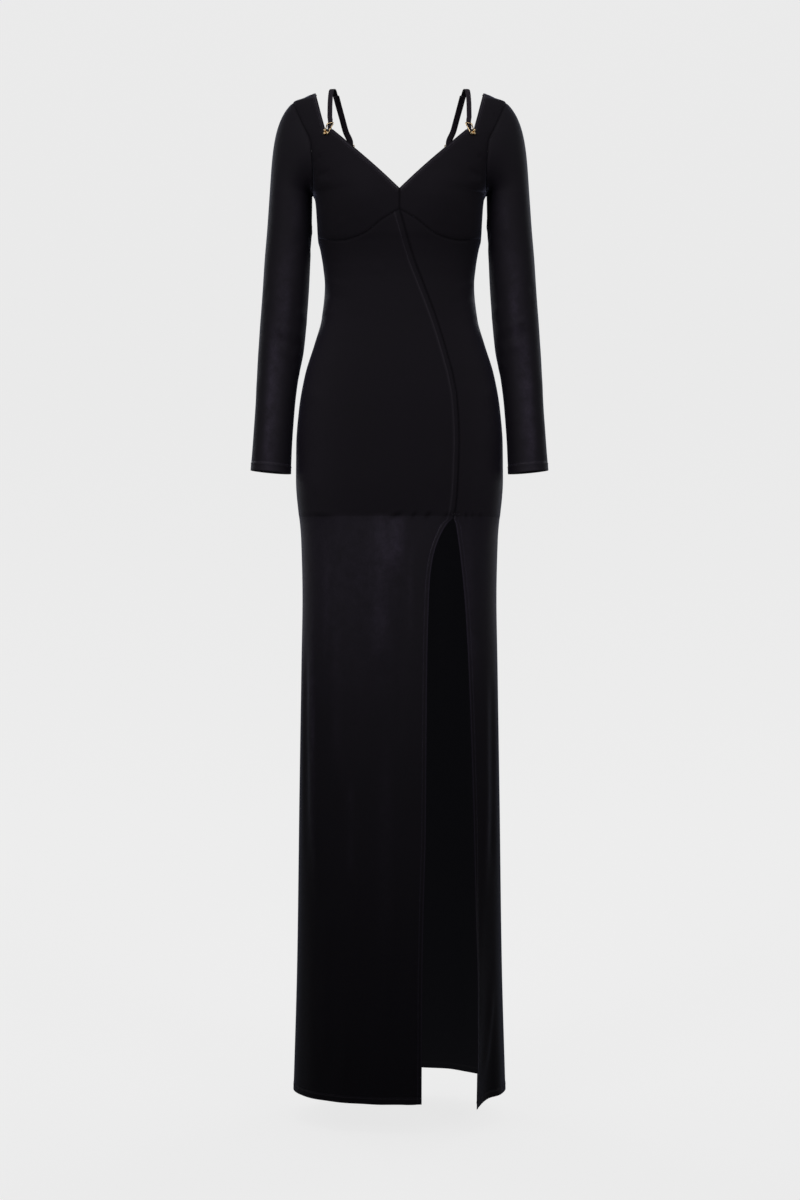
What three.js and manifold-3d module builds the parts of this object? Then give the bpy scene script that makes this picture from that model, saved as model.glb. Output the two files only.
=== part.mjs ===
// A floor-length jersey dress in the shape it has when worn, with long sleeves, a V neckline,
// a high slit and two shoulder straps on small wire rings. Millimetres, +Z up.
// The wearer faces -Y and +X is the wearer's left. The origin lies midway between the
// shoulders, level with the underside of the straps where they cross them.

import * as THREE from 'three';
import { mergeGeometries, mergeVertices } from 'three/addons/utils/BufferGeometryUtils.js';
import Module from 'manifold-3d';

const wasm = await Module();
wasm.setup();

// Cloth and seams
const wall = 1.5;
const seamGap = 0.3;
const hemHeight = -1568;
const waistSeamSide = -238;
const waistSeamCentre = -206;
const slitTop = -676;
const armpitHeight = -164.6;
const shoulderSeamOuter = -23.2;
const gridColumns = 10;
const armholeSteps = 12;
const sideSteps = 5;

// Bust shaping, cut into the upper front
const bust = { apart: 66, height: -186, reachX: 42, reachZ: 44, lift: 12 };

// The free corner of the side panel turns forward and hangs lower below this height
const curl = { start: -1120, depth: 30, reach: 26, drop: 8 };

// Straps and rings
const strapThick = 1.2;
const wire = 0.8;
const frontEye = { x: 111.5, z: -83.5 };
const backEye = { x: 75, z: -86.5 };
const barTop = 15;
const ball = 2.1;
// The most that a flat facet of the cloth lies inside the true curve near a ring
const facetDepth = 1.1;
const stud = { radius: 0.8, headRadius: 2.0, headThick: 0.8, plateRadius: 3.1 };
const ringSteps = 20;
const wireSides = 6;
const drill = { length: 12, sides: 10 };

// Sections of the worn form from the hem up: half width, depth to front and back, squareness
const formRows = [
  { z: -1568, half: 165.4, front: 120, back: 161, power: 2.05 },
  { z: -1367, half: 159.7, front: 111, back: 147, power: 2.25 },
  { z: -1116, half: 156.2, front: 100, back: 132, power: 2.5 },
  { z: -896, half: 152.8, front: 93, back: 121, power: 2.6 },
  { z: -800, half: 151.3, front: 92, back: 118.5, power: 2.55 },
  { z: -708, half: 153.4, front: 94, back: 119.5, power: 2.45 },
  { z: -613, half: 161.2, front: 97, back: 124.5, power: 2.35 },
  { z: -560, half: 160.8, front: 97, back: 127, power: 2.3 },
  { z: -504, half: 156.5, front: 97, back: 122, power: 2.3 },
  { z: -450, half: 147.0, front: 95, back: 107, power: 2.3 },
  { z: -400, half: 131.6, front: 91, back: 90, power: 2.25 },
  { z: -362, half: 121.0, front: 88, back: 79, power: 2.2 },
  { z: -308, half: 115.9, front: 86, back: 73, power: 2.2 },
  { z: -284, half: 118.1, front: 88, back: 75, power: 2.2 },
  { z: -252, half: 123.4, front: 96, back: 84, power: 2.25 },
  { z: -238, half: 126.9, front: 101, back: 89, power: 2.3 },
  { z: -205, half: 128.9, front: 107, back: 98, power: 2.4 },
  { z: -174, half: 131.6, front: 110, back: 103, power: 2.45 },
  { z: -164.6, half: 135.8, front: 110, back: 104, power: 2.5 },
  { z: -139.5, half: 145, front: 108, back: 103, power: 2.5 },
  { z: -113, half: 156, front: 102, back: 100, power: 2.5 },
  { z: -95, half: 163, front: 96, back: 96, power: 2.5 },
  { z: -68, half: 171, front: 82, back: 84, power: 2.5 },
  { z: -39.4, half: 171.5, front: 62, back: 62, power: 2.5 },
  { z: -23.2, half: 167.0, front: 46, back: 45, power: 2.5 },
  { z: -17, half: 152, front: 38, back: 37, power: 2.5 },
  { z: -10.7, half: 139.7, front: 27, back: 26, power: 2.5 },
  { z: -8, half: 131.6, front: 16, back: 15, power: 2.5 },
];

// Front armhole seam: its distance from the centre at each height
const armholeRows = [
  { z: -164.6, x: 135.8 },
  { z: -155, x: 134.2 },
  { z: -139.5, x: 133.8 },
  { z: -113, x: 135.2 },
  { z: -95, x: 137 },
  { z: -84.8, x: 140.6 },
  { z: -68, x: 148.7 },
  { z: -39.4, x: 160.6 },
  { z: -23.2, x: 167 },
];

// Free edge of the upper front by grid row: up the centre, along the V and up the shoulder
const frontNeckRows = [
  { row: 0, x: 0, z: -206 },
  { row: 2, x: 0, z: -175 },
  { row: 11, x: 102, z: -79.5 },
  { row: 12, x: 114, z: -78 },
  { row: 14, x: 120.6, z: -53 },
  { row: 17, x: 131.6, z: -8 },
];

// The same for the back, a lower V that the front hides, with a corner for each strap
const backNeckRows = [
  { row: 0, x: 0, z: -238 },
  { row: 5, x: 0, z: -150 },
  { row: 9, x: 67, z: -84 },
  { row: 10, x: 80, z: -79 },
  { row: 12, x: 113, z: -64 },
  { row: 14, x: 122, z: -50 },
  { row: 16, x: 128.6, z: -30 },
  { row: 17, x: 131.6, z: -8 },
];

// Height of the seam under the bust at each distance from the centre
const waistSeamRows = [
  { x: 0, z: -206 },
  { x: 26, z: -221 },
  { x: 52, z: -240 },
  { x: 70, z: -246.5 },
  { x: 87, z: -249 },
  { x: 108, z: -246 },
  { x: 126.9, z: -238 },
];

// Slanting front seam from the top of the slit to the point under the bust
const slantRows = [
  { z: -676, x: 82.6 },
  { z: -660, x: 86.4 },
  { z: -604, x: 90.3 },
  { z: -556, x: 91.6 },
  { z: -498, x: 88.8 },
  { z: -455, x: 81.5 },
  { z: -434, x: 76.0 },
  { z: -367, x: 55.7 },
  { z: -312, x: 35.0 },
  { z: -285, x: 24.5 },
  { z: -245, x: 11.4 },
  { z: -225, x: 5.6 },
  { z: -206, x: 0 },
];

// The two edges of the slit: main panel and side panel
const slitRows = [
  { z: -1568, main: 33.4, side: 117.0 },
  { z: -1407, main: 34.4, side: 119.5 },
  { z: -1273, main: 36.8, side: 116.2 },
  { z: -1160, main: 40.0, side: 114.0 },
  { z: -1005, main: 41.3, side: 109.5 },
  { z: -889, main: 42.6, side: 105.0 },
  { z: -812, main: 44.6, side: 100.6 },
  { z: -773, main: 46.4, side: 97.2 },
  { z: -735, main: 51.6, side: 93.0 },
  { z: -713, main: 58.2, side: 90.2 },
  { z: -701, main: 63.4, side: 88.4 },
  { z: -690, main: 69.5, side: 86.8 },
  { z: -683, main: 74.5, side: 85.4 },
  { z: -676, main: 82.6, side: 82.6 },
];

// Soft upright folds of the skirt: degrees round the form where they start and end, 90 is
// the front and -90 the back, the height they start at, how far they stand out, how wide
const foldRows = [
  { from: 152, to: 150, start: -980, lift: 2.5, wide: 8 },
  { from: 128, to: 130, start: -1040, lift: 2.6, wide: 9 },
  { from: 107, to: 105, start: -1180, lift: 2.0, wide: 7 },
  { from: 84, to: 82, start: -1260, lift: 2.2, wide: 5 },
  { from: 22, to: 20, start: -1180, lift: 3.0, wide: 7 },
  { from: -28, to: -30, start: -960, lift: 4.5, wide: 9 },
  { from: -58, to: -61, start: -1060, lift: 5.0, wide: 8 },
  { from: -93, to: -90, start: -900, lift: 4.0, wide: 10 },
  { from: -124, to: -121, start: -1080, lift: 5.0, wide: 8 },
  { from: -152, to: -154, start: -980, lift: 4.5, wide: 9 },
];

// Rows of every panel below the bust, as shares of the way up from the hem
const slitShare = (slitTop - hemHeight) / (waistSeamCentre - hemHeight);
const levelShares = [
  0, 0.035, 0.1, 0.165, 0.23, 0.295, 0.36, 0.42, 0.48, 0.53, 0.575, 0.61, 0.635, 0.648,
  slitShare, 0.69, 0.73, 0.765, 0.8, 0.83, 0.86, 0.885, 0.91, 0.935, 0.96, 0.98, 1,
];

// Rings of the sleeve below the armpit: centre, half width and half depth
const armRows = [
  { z: -605, x: 201, y: -20, halfX: 30.6, halfY: 33 },
  { z: -550.8, x: 198.2, y: -12, halfX: 29.9, halfY: 33 },
  { z: -503.7, x: 195.1, y: -5, halfX: 30.0, halfY: 33.5 },
  { z: -456.6, x: 191.6, y: 2, halfX: 31.7, halfY: 35 },
  { z: -409.5, x: 186.1, y: 7, halfX: 35.0, halfY: 37.5 },
  { z: -362, x: 182.2, y: 8, halfX: 35.7, halfY: 39 },
  { z: -315, x: 178.7, y: 7, halfX: 35.6, halfY: 40 },
  { z: -268, x: 176, y: 6, halfX: 35.2, halfY: 41 },
  { z: -221, x: 172.9, y: 4, halfX: 34.2, halfY: 42 },
  { z: -168, x: 170.5, y: 2, halfX: 32.8, halfY: 43 },
];
const capRings = 5;
const sleeveEase = 0.12;
// How the cap leaves the armhole and meets the arm, at the underarm and how much more on top
const cap = {
  outwards: 0.12, outwardsTop: 0.62, forwards: 0.28, upTop: 0.33,
  leavePull: 0.6, leavePullTop: 0.25, arriveLean: 0.07, arrivePull: 0.9, arrivePullTop: 0.35,
};
const armLevels = [-196, -228, -262, -300, -338, -372, -402, -432, -464, -500, -540, -580, -602.5];
const cuffTilt = 2.8;

// Strap over the shoulder between the two rings, and how far its edge line leans
const strapRows = [
  { x: 107.9, y: -64.5, z: -56, width: 7.6, lean: 0 },
  { x: 108.3, y: -56, z: -38, width: 7.6, lean: 0 },
  { x: 108.2, y: -42, z: -18.5, width: 7.6, lean: 0 },
  { x: 106.8, y: -23, z: -4.5, width: 7.6, lean: 0 },
  { x: 103.8, y: 0, z: 0.6, width: 7.6, lean: 4 },
  { x: 101.0, y: 24, z: -3.2, width: 7.6, lean: 8 },
  { x: 97.2, y: 47, z: -16.5, width: 7.6, lean: 12 },
  { x: 92.6, y: 64, z: -33, width: 7.6, lean: 16 },
  { x: 87.0, y: 77, z: -51, width: 7.6, lean: 16 },
];
// The strap's tail from behind the neckline up through the front ring, in the ring's axes
const strapTailRows = [
  { across: 5.4, up: -9, depth: -4.6, width: 4.2 },
  { across: 5.1, up: -1, depth: -4.4, width: 3.6 },
  { across: 4.0, up: 6.2, depth: -4.2, width: 3.6 },
  { across: 3.7, up: 10, depth: -2.5, width: 5.4 },
  { across: 4.0, up: 14.4, depth: -1.75, width: 7.2 },
  { across: 4.0, up: 18.5, depth: -1.6, width: 7.6 },
];
// The layer that comes back from the rear ring: how far it is shifted and the row it ends at
const strapReturnShift = 1.9;
const strapReturnEnd = 5;
const barLead = 4;
const barSteps = 4;

// Wire outline of the rings, seen from outside: towards the centre and up from the eye
const frontRingRows = [
  { across: 2.9, up: -1.6 },
  { across: 4.5, up: 3.4 },
  { across: 7.0, up: 9.4 },
  { across: 9.1, up: 14.6 },
  { across: 8.4, up: 15.5 },
  { across: 3.8, up: 15.0 },
  { across: -0.4, up: 14.4 },
  { across: -0.9, up: 13.4 },
  { across: -1.7, up: 8.4 },
  { across: -2.4, up: 3.0 },
  { across: -2.2, up: -1.4 },
  { across: 0.4, up: -3.0 },
];
const backBalls = [
  { across: -2.2, up: -0.6 },
  { across: 2.2, up: -0.6 },
];
const backRingRows = [
  { across: 2.4, up: 0.2 },
  { across: 3.0, up: 5.0 },
  { across: 4.3, up: 10.0 },
  { across: 5.4, up: 14.2 },
  { across: 4.5, up: 15.0 },
  { across: 0, up: 15.0 },
  { across: -4.5, up: 15.0 },
  { across: -5.4, up: 14.2 },
  { across: -4.3, up: 10.0 },
  { across: -3.0, up: 5.0 },
  { across: -2.4, up: 0.2 },
  { across: 0, up: -2.0 },
];
const frontBalls = [
  { across: -3.0, up: 2.9 },
  { across: -2.9, up: -2.2 },
  { across: 1.5, up: -2.2 },
];
const backRingLean = 16;

const colours = {
  cloth: 0x17151b,
  strap: 0x141318,
  gold: 0xd9b36a,
};

const toRadians = Math.PI / 180;

function mix(a, b, t) {
  return a + (b - a) * t;
}

function smoothStep(t) {
  const s = Math.min(Math.max(t, 0), 1);
  return s * s * (3 - 2 * s);
}

// Slope of a table at one row that never overshoots the rows beside it
function tableSlope(rows, place, column, i) {
  const last = rows.length - 1;
  const rise = (k) => {
    return (rows[k + 1][column] - rows[k][column]) / (rows[k + 1][place] - rows[k][place]);
  };
  if (i === 0) return rise(0);
  if (i === last) return rise(last - 1);
  const before = rise(i - 1);
  const after = rise(i);
  if (before * after <= 0) return 0;
  const gapBefore = rows[i][place] - rows[i - 1][place];
  const gapAfter = rows[i + 1][place] - rows[i][place];
  const weightBefore = 2 * gapAfter + gapBefore;
  const weightAfter = gapAfter + 2 * gapBefore;
  return (weightBefore + weightAfter) / (weightBefore / before + weightAfter / after);
}

// Smooth reading of one column of a table whose rows rise in the named place
function readTable(rows, place, column, at) {
  const last = rows.length - 1;
  if (at <= rows[0][place]) return rows[0][column];
  if (at >= rows[last][place]) return rows[last][column];
  let i = 0;
  while (rows[i + 1][place] < at) i += 1;
  const span = rows[i + 1][place] - rows[i][place];
  const t = (at - rows[i][place]) / span;
  const start = tableSlope(rows, place, column, i) * span;
  const end = tableSlope(rows, place, column, i + 1) * span;
  const a = rows[i][column];
  const b = rows[i + 1][column];
  const t2 = t * t;
  const t3 = t2 * t;
  return (2 * t3 - 3 * t2 + 1) * a + (t3 - 2 * t2 + t) * start
    + (3 * t2 - 2 * t3) * b + (t3 - t2) * end;
}

function readLine(rows, place, column, at) {
  let i = 0;
  while (i < rows.length - 2 && rows[i + 1][place] < at) i += 1;
  const t = (at - rows[i][place]) / (rows[i + 1][place] - rows[i][place]);
  return mix(rows[i][column], rows[i + 1][column], t);
}

// The angle on the form of a point of the front (side 1) or back (side -1) at x and z
function angleAt(x, z, side) {
  const half = readTable(formRows, 'z', 'half', z);
  const depth = readTable(formRows, 'z', side > 0 ? 'front' : 'back', z);
  const power = readTable(formRows, 'z', 'power', z);
  const share = Math.min(Math.abs(x) / half, 1);
  const y = depth * Math.pow(1 - Math.pow(share, power), 1 / power);
  return side * Math.atan2(y, x);
}

function foldLift(angle, z) {
  let sum = 0;
  for (const fold of foldRows) {
    const t = (fold.start - z) / (fold.start - hemHeight);
    if (t <= 0) continue;
    const middle = mix(fold.from, fold.to, t) * toRadians;
    const off = (angle - middle) / (fold.wide * toRadians);
    sum += fold.lift * smoothStep(t) * Math.exp(-off * off);
  }
  return sum;
}

function bustLift(x, z, front) {
  const offX = (Math.abs(x) - bust.apart) / bust.reachX;
  const offZ = (z - bust.height) / bust.reachZ;
  return bust.lift * front * Math.exp(-offX * offX - offZ * offZ);
}

// A point of the worn form: the angle runs from the wearer's left side over the front
function formPoint(angle, z) {
  const c = Math.cos(angle);
  const s = Math.sin(angle);
  const half = readTable(formRows, 'z', 'half', z);
  const depth = readTable(formRows, 'z', s > 0 ? 'front' : 'back', z);
  const power = readTable(formRows, 'z', 'power', z);
  const sum = Math.pow(Math.abs(c) / half, power) + Math.pow(Math.abs(s) / depth, power);
  const radius = Math.pow(sum, -1 / power) + foldLift(angle, z);
  const point = new THREE.Vector3(radius * c, -radius * s, z);
  point.y -= bustLift(point.x, z, Math.max(s, 0));
  return point;
}

// The side panel's free edge turns forward and drops towards its corner
function sidePanelPoint(angle, z) {
  const point = formPoint(angle, z);
  const t = smoothStep((curl.start - z) / (curl.start - hemHeight));
  const fromEdge = point.x - readTable(slitRows, 'z', 'side', z);
  const near = Math.min(Math.max(1 - fromEdge / curl.reach, 0), 1);
  point.y -= curl.depth * t * near * near;
  point.z -= curl.drop * t * near * near;
  return point;
}

// Outward direction of a surface that is a function of angle and height
function surfaceNormal(surface, angle, z) {
  const turn = 0.01;
  const rise = 0.5;
  const across = surface(angle + turn, z).sub(surface(angle - turn, z));
  const up = surface(angle, z + rise).sub(surface(angle, z - rise));
  return up.cross(across).normalize();
}

// Moves the points on the rim of a grid inwards by half the gap between two pieces. The last
// column stays where it is in the joined rows, where another half carries on.
function insetGrid(grid, closedRound, joinedRows) {
  const rows = grid.length;
  const columns = grid[0].length;
  const copy = grid.map((row) => row.map((point) => point.clone()));
  const pull = (point, from, to) => {
    point.add(to.clone().sub(from).normalize().multiplyScalar(seamGap / 2));
  };
  for (let c = 0; c < columns; c += 1) {
    pull(copy[0][c], grid[0][c], grid[1][c]);
    pull(copy[rows - 1][c], grid[rows - 1][c], grid[rows - 2][c]);
  }
  if (closedRound) return copy;
  for (let r = 0; r < rows; r += 1) {
    pull(copy[r][0], grid[r][0], grid[r][1]);
    if (r >= joinedRows) pull(copy[r][columns - 1], grid[r][columns - 1], grid[r][columns - 2]);
  }
  return copy;
}

// Two triangles of a four-cornered cell, split along its shorter diagonal so that both
// halves of the dress match
function splitQuad(vertices, triangles, a, b, c, d) {
  const at = (i) => new THREE.Vector3(vertices[3 * i], vertices[3 * i + 1], vertices[3 * i + 2]);
  if (at(a).distanceTo(at(c)) <= at(b).distanceTo(at(d))) triangles.push(a, b, c, a, c, d);
  else triangles.push(a, b, d, b, c, d);
}

// A wall between an outer grid of points and the same grid moved in along the normals, with
// no rim along the joined rows of the last column
function wallGeometry(outer, normals, closedRound, flip, joinedRows) {
  const rows = outer.length;
  const columns = outer[0].length;
  const vertices = [];
  const triangles = [];
  for (let r = 0; r < rows; r += 1) {
    for (let c = 0; c < columns; c += 1) {
      const out = outer[r][c];
      const inside = out.clone().addScaledVector(normals[r][c], -wall);
      vertices.push(out.x, out.y, out.z, inside.x, inside.y, inside.z);
    }
  }
  const outerAt = (r, c) => 2 * (r * columns + (c % columns));
  const innerAt = (r, c) => outerAt(r, c) + 1;
  const face = (a, b, c, d) => {
    if (flip) splitQuad(vertices, triangles, a, d, c, b);
    else splitQuad(vertices, triangles, a, b, c, d);
  };
  const spans = closedRound ? columns : columns - 1;
  for (let r = 0; r < rows - 1; r += 1) {
    for (let c = 0; c < spans; c += 1) {
      face(outerAt(r, c), outerAt(r, c + 1), outerAt(r + 1, c + 1), outerAt(r + 1, c));
      face(innerAt(r, c), innerAt(r + 1, c), innerAt(r + 1, c + 1), innerAt(r, c + 1));
    }
  }
  const last = rows - 1;
  for (let c = 0; c < spans; c += 1) {
    face(outerAt(0, c), innerAt(0, c), innerAt(0, c + 1), outerAt(0, c + 1));
    face(outerAt(last, c), outerAt(last, c + 1), innerAt(last, c + 1), innerAt(last, c));
  }
  if (!closedRound) {
    const end = columns - 1;
    const endFrom = Math.max(joinedRows - 1, 0);
    for (let r = 0; r < last; r += 1) {
      face(outerAt(r, 0), outerAt(r + 1, 0), innerAt(r + 1, 0), innerAt(r, 0));
      if (r < endFrom) continue;
      face(outerAt(r, end), innerAt(r, end), innerAt(r + 1, end), outerAt(r + 1, end));
    }
  }
  return geometryOf(vertices, triangles);
}

function geometryOf(vertices, triangles) {
  const geometry = new THREE.BufferGeometry();
  geometry.setAttribute('position', new THREE.Float32BufferAttribute(vertices, 3));
  geometry.setIndex(triangles);
  return geometry;
}

// The wall of a panel that lies on a surface, from its grid of angles and heights
function panelGeometry(places, surface, flip, joinedRows = 0) {
  const points = places.map((row) => row.map((at) => surface(at.angle, at.z)));
  const normals = places.map((row) => row.map((at) => surfaceNormal(surface, at.angle, at.z)));
  return wallGeometry(insetGrid(points, false, joinedRows), normals, false, flip, joinedRows);
}

function manifoldOf(geometry) {
  const plain = geometry.clone();
  plain.deleteAttribute('normal');
  plain.deleteAttribute('uv');
  const merged = mergeVertices(plain, 1e-4);
  return new wasm.Manifold(new wasm.Mesh({
    numProp: 3,
    vertProperties: new Float32Array(merged.attributes.position.array),
    triVerts: new Uint32Array(merged.index.array),
  }));
}

function geometryFrom(manifold) {
  const mesh = manifold.getMesh();
  return geometryOf(Array.from(mesh.vertProperties), Array.from(mesh.triVerts));
}

// Heights up the side seam from under the bust to the armpit, then round the armhole
function sideHeights() {
  const heights = [];
  for (let i = 0; i < sideSteps; i += 1) {
    heights.push(mix(waistSeamSide, armpitHeight, i / sideSteps));
  }
  const middle = (armpitHeight + shoulderSeamOuter) / 2;
  const reach = (shoulderSeamOuter - armpitHeight) / 2;
  for (let i = 0; i <= armholeSteps; i += 1) {
    heights.push(middle - reach * Math.cos(Math.PI * i / armholeSteps));
  }
  return heights;
}

// Edge of the front or back along the side seam and the armhole, on the wearer's left
function sideEdge(side) {
  return sideHeights().map((z) => {
    if (z <= armpitHeight || z > shoulderSeamOuter - 0.01) return { angle: 0, z };
    return { angle: angleAt(readTable(armholeRows, 'z', 'x', z), z, side), z };
  });
}

function neckEdge(side) {
  const rows = side > 0 ? frontNeckRows : backNeckRows;
  const edge = [];
  for (let r = 0; r <= sideSteps + armholeSteps; r += 1) {
    const z = readLine(rows, 'row', 'z', r);
    edge.push({ angle: angleAt(readLine(rows, 'row', 'x', r), z, side), z });
  }
  return edge;
}

// The height of the seam under the bust at an angle, found by reading the table repeatedly
function waistSeamPlace(angle) {
  const passes = 6;
  let z = waistSeamSide;
  for (let i = 0; i < passes; i += 1) {
    const x = formPoint(angle, z).x;
    z = readTable(waistSeamRows, 'x', 'z', Math.abs(x));
  }
  return { angle, z };
}

function columnAngles(side) {
  const angles = [];
  for (let c = 0; c <= gridColumns; c += 1) angles.push(side * c / gridColumns * Math.PI / 2);
  return angles;
}

// Upper grid of the wearer's left half: rows run from the side seam and armhole to the neck
function upperGrid(side) {
  const neck = neckEdge(side);
  const bottom = columnAngles(side).map((angle) => {
    return side > 0 ? waistSeamPlace(angle) : { angle, z: waistSeamSide };
  });
  const last = neck.length - 1;
  return sideEdge(side).map((from, r) => bottom.map((low, c) => {
    const u = c / gridColumns;
    const sag = low.z - mix(bottom[0].z, bottom[gridColumns].z, u);
    return {
      angle: mix(from.angle, neck[r].angle, u),
      z: mix(from.z, neck[r].z, u) + sag * (1 - r / last),
    };
  }));
}

function mirrorPlaces(grid) {
  const turn = (at) => {
    const sign = at.angle < 0 ? -1 : 1;
    return { angle: sign * Math.PI - at.angle, z: at.z };
  };
  return grid.map((row) => row.map(turn));
}

// One half of the upper front, from the centre seam to the side and over the shoulder
function bustPanel(isLeft) {
  const places = upperGrid(1);
  const geometry = panelGeometry(isLeft ? places : mirrorPlaces(places), formPoint, isLeft);
  return cutEyelet(geometry, frontEye, 1, isLeft ? 1 : -1);
}

// The back in one piece: two halves that share their centre line up to the neckline
function backPanel() {
  const lower = levelShares.slice(0, -1).map((share) => {
    const z = mix(hemHeight, waistSeamSide, share);
    return columnAngles(-1).map((angle) => ({ angle, z }));
  });
  const places = lower.concat(upperGrid(-1));
  const joinedRows = lower.length + backNeckRows[1].row + 1;
  const halves = [places, mirrorPlaces(places)].map((grid, i) => {
    return panelGeometry(grid, formPoint, i === 1, joinedRows);
  });
  let geometry = mergeGeometries(halves);
  geometry = cutEyelet(geometry, backEye, -1, 1);
  return cutEyelet(geometry, backEye, -1, -1);
}

function slantEdgeX(z, edge) {
  if (z >= slitTop) return readTable(slantRows, 'z', 'x', z);
  return readTable(slitRows, 'z', edge, z);
}

// A front panel below the bust, between a side seam and the slanting seam with the slit
function lowerFrontPanel(edge) {
  const isMain = edge === 'main';
  const sideAngle = isMain ? Math.PI : 0;
  const topAngles = columnAngles(1).map((angle) => (isMain ? Math.PI - angle : angle));
  const topHeights = topAngles.map((angle) => waistSeamPlace(angle).z);
  const count = topAngles.length - 1;
  const places = levelShares.map((share) => {
    const edgeHeight = mix(hemHeight, waistSeamCentre, share);
    const edgeAngle = angleAt(slantEdgeX(edgeHeight, edge), edgeHeight, 1);
    return topAngles.map((unused, c) => {
      return { angle: mix(sideAngle, edgeAngle, c / count), z: mix(hemHeight, topHeights[c], share) };
    });
  });
  return panelGeometry(places, isMain ? formPoint : sidePanelPoint, !isMain);
}

// A ring of the sleeve: round the arm from its outer side over the front
function armPoint(turn, z) {
  const x = readTable(armRows, 'z', 'x', z);
  const y = readTable(armRows, 'z', 'y', z);
  const halfX = readTable(armRows, 'z', 'halfX', z);
  const halfY = readTable(armRows, 'z', 'halfY', z);
  return new THREE.Vector3(x + halfX * Math.cos(turn), y - halfY * Math.sin(turn), z);
}

// The armhole seam as a loop, from the shoulder over the front to the armpit and back up
function armholePoint(turn) {
  const middle = (armpitHeight + shoulderSeamOuter) / 2;
  const reach = (shoulderSeamOuter - armpitHeight) / 2;
  const z = middle + reach * Math.cos(turn);
  const side = Math.sin(turn) >= 0 ? 1 : -1;
  const atSeamEnd = Math.abs(Math.sin(turn)) < 1e-6;
  const angle = atSeamEnd ? 0 : angleAt(readTable(armholeRows, 'z', 'x', z), z, side);
  const point = formPoint(angle, z);
  point.x += seamGap * (1 - Math.cos(turn)) / 2;
  return point;
}

// The cap of the sleeve: a smooth path from each point of the armhole to the upper arm
function capPoint(turn, t) {
  const start = armholePoint(turn);
  const end = armPoint(turn, armRows[armRows.length - 1].z);
  const length = start.distanceTo(end);
  const top = (1 + Math.cos(turn)) / 2;
  const outwards = cap.outwards + cap.outwardsTop * top;
  const leave = new THREE.Vector3(outwards, -cap.forwards * Math.sin(turn), -1 + cap.upTop * top);
  leave.normalize();
  start.addScaledVector(leave, sleeveEase);
  leave.multiplyScalar(length * (cap.leavePull + cap.leavePullTop * top));
  const arrive = new THREE.Vector3(cap.arriveLean, 0, -1).normalize();
  arrive.multiplyScalar(length * (cap.arrivePull + cap.arrivePullTop * top));
  const t2 = t * t;
  const t3 = t2 * t;
  return start.multiplyScalar(2 * t3 - 3 * t2 + 1)
    .addScaledVector(leave, t3 - 2 * t2 + t)
    .addScaledVector(end, 3 * t2 - 2 * t3)
    .addScaledVector(arrive, t3 - t2);
}

// Normals of a grid that is closed round, from its own neighbours
function gridNormals(grid) {
  const last = grid.length - 1;
  const columns = grid[0].length;
  return grid.map((row, r) => row.map((point, c) => {
    const across = row[(c + 1) % columns].clone().sub(row[(c + columns - 1) % columns]);
    const along = grid[Math.min(r + 1, last)][c].clone().sub(grid[Math.max(r - 1, 0)][c]);
    return across.cross(along).normalize();
  }));
}

function sleeve(isLeft) {
  const grid = [];
  const count = 2 * armholeSteps;
  const turns = Array.from({ length: count }, (unused, i) => 2 * Math.PI * i / count);
  for (let k = 0; k <= capRings; k += 1) {
    grid.push(turns.map((turn) => capPoint(turn, k / capRings)));
  }
  const lastLevel = armLevels[armLevels.length - 1];
  for (const z of armLevels) {
    grid.push(turns.map((turn) => {
      const point = armPoint(turn, z);
      if (z === lastLevel) point.z += cuffTilt * Math.cos(turn);
      return point;
    }));
  }
  const side = isLeft ? 1 : -1;
  for (const row of grid) for (const point of row) point.x *= side;
  const normals = gridNormals(grid);
  for (const row of normals) for (const normal of row) normal.multiplyScalar(side);
  return wallGeometry(insetGrid(grid, true, 0), normals, true, !isLeft, 0);
}

// Axes of a ring on the cloth: its eye, towards the centre, up and outwards
function ringFrame(eye, face, side, lean) {
  const z = eye.z;
  const angle = angleAt(side * eye.x, z, face);
  const out = surfaceNormal(formPoint, angle, z);
  const up = new THREE.Vector3(0, 0, 1).addScaledVector(out, -out.z).normalize();
  const inwards = new THREE.Vector3(-side, 0, 0);
  inwards.addScaledVector(out, -inwards.dot(out)).addScaledVector(up, -inwards.dot(up)).normalize();
  up.applyAxisAngle(out, -lean * side * face * toRadians);
  inwards.applyAxisAngle(out, -lean * side * face * toRadians);
  const centre = formPoint(angle, z).addScaledVector(out, wire + seamGap);
  const place = (across, rise, depth) => centre.clone()
    .addScaledVector(inwards, across)
    .addScaledVector(up, rise)
    .addScaledVector(out, depth);
  return { centre, out, up, inwards, place };
}

function cutEyelet(geometry, eye, face, side) {
  const frame = ringFrame(eye, face, side, 0);
  const radius = stud.radius + seamGap;
  const hole = new THREE.CylinderGeometry(radius, radius, drill.length, drill.sides);
  hole.applyQuaternion(new THREE.Quaternion().setFromUnitVectors(new THREE.Vector3(0, 1, 0), frame.out));
  hole.translate(frame.centre.x, frame.centre.y, frame.centre.z);
  return geometryFrom(manifoldOf(geometry).subtract(manifoldOf(hole)));
}

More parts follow.
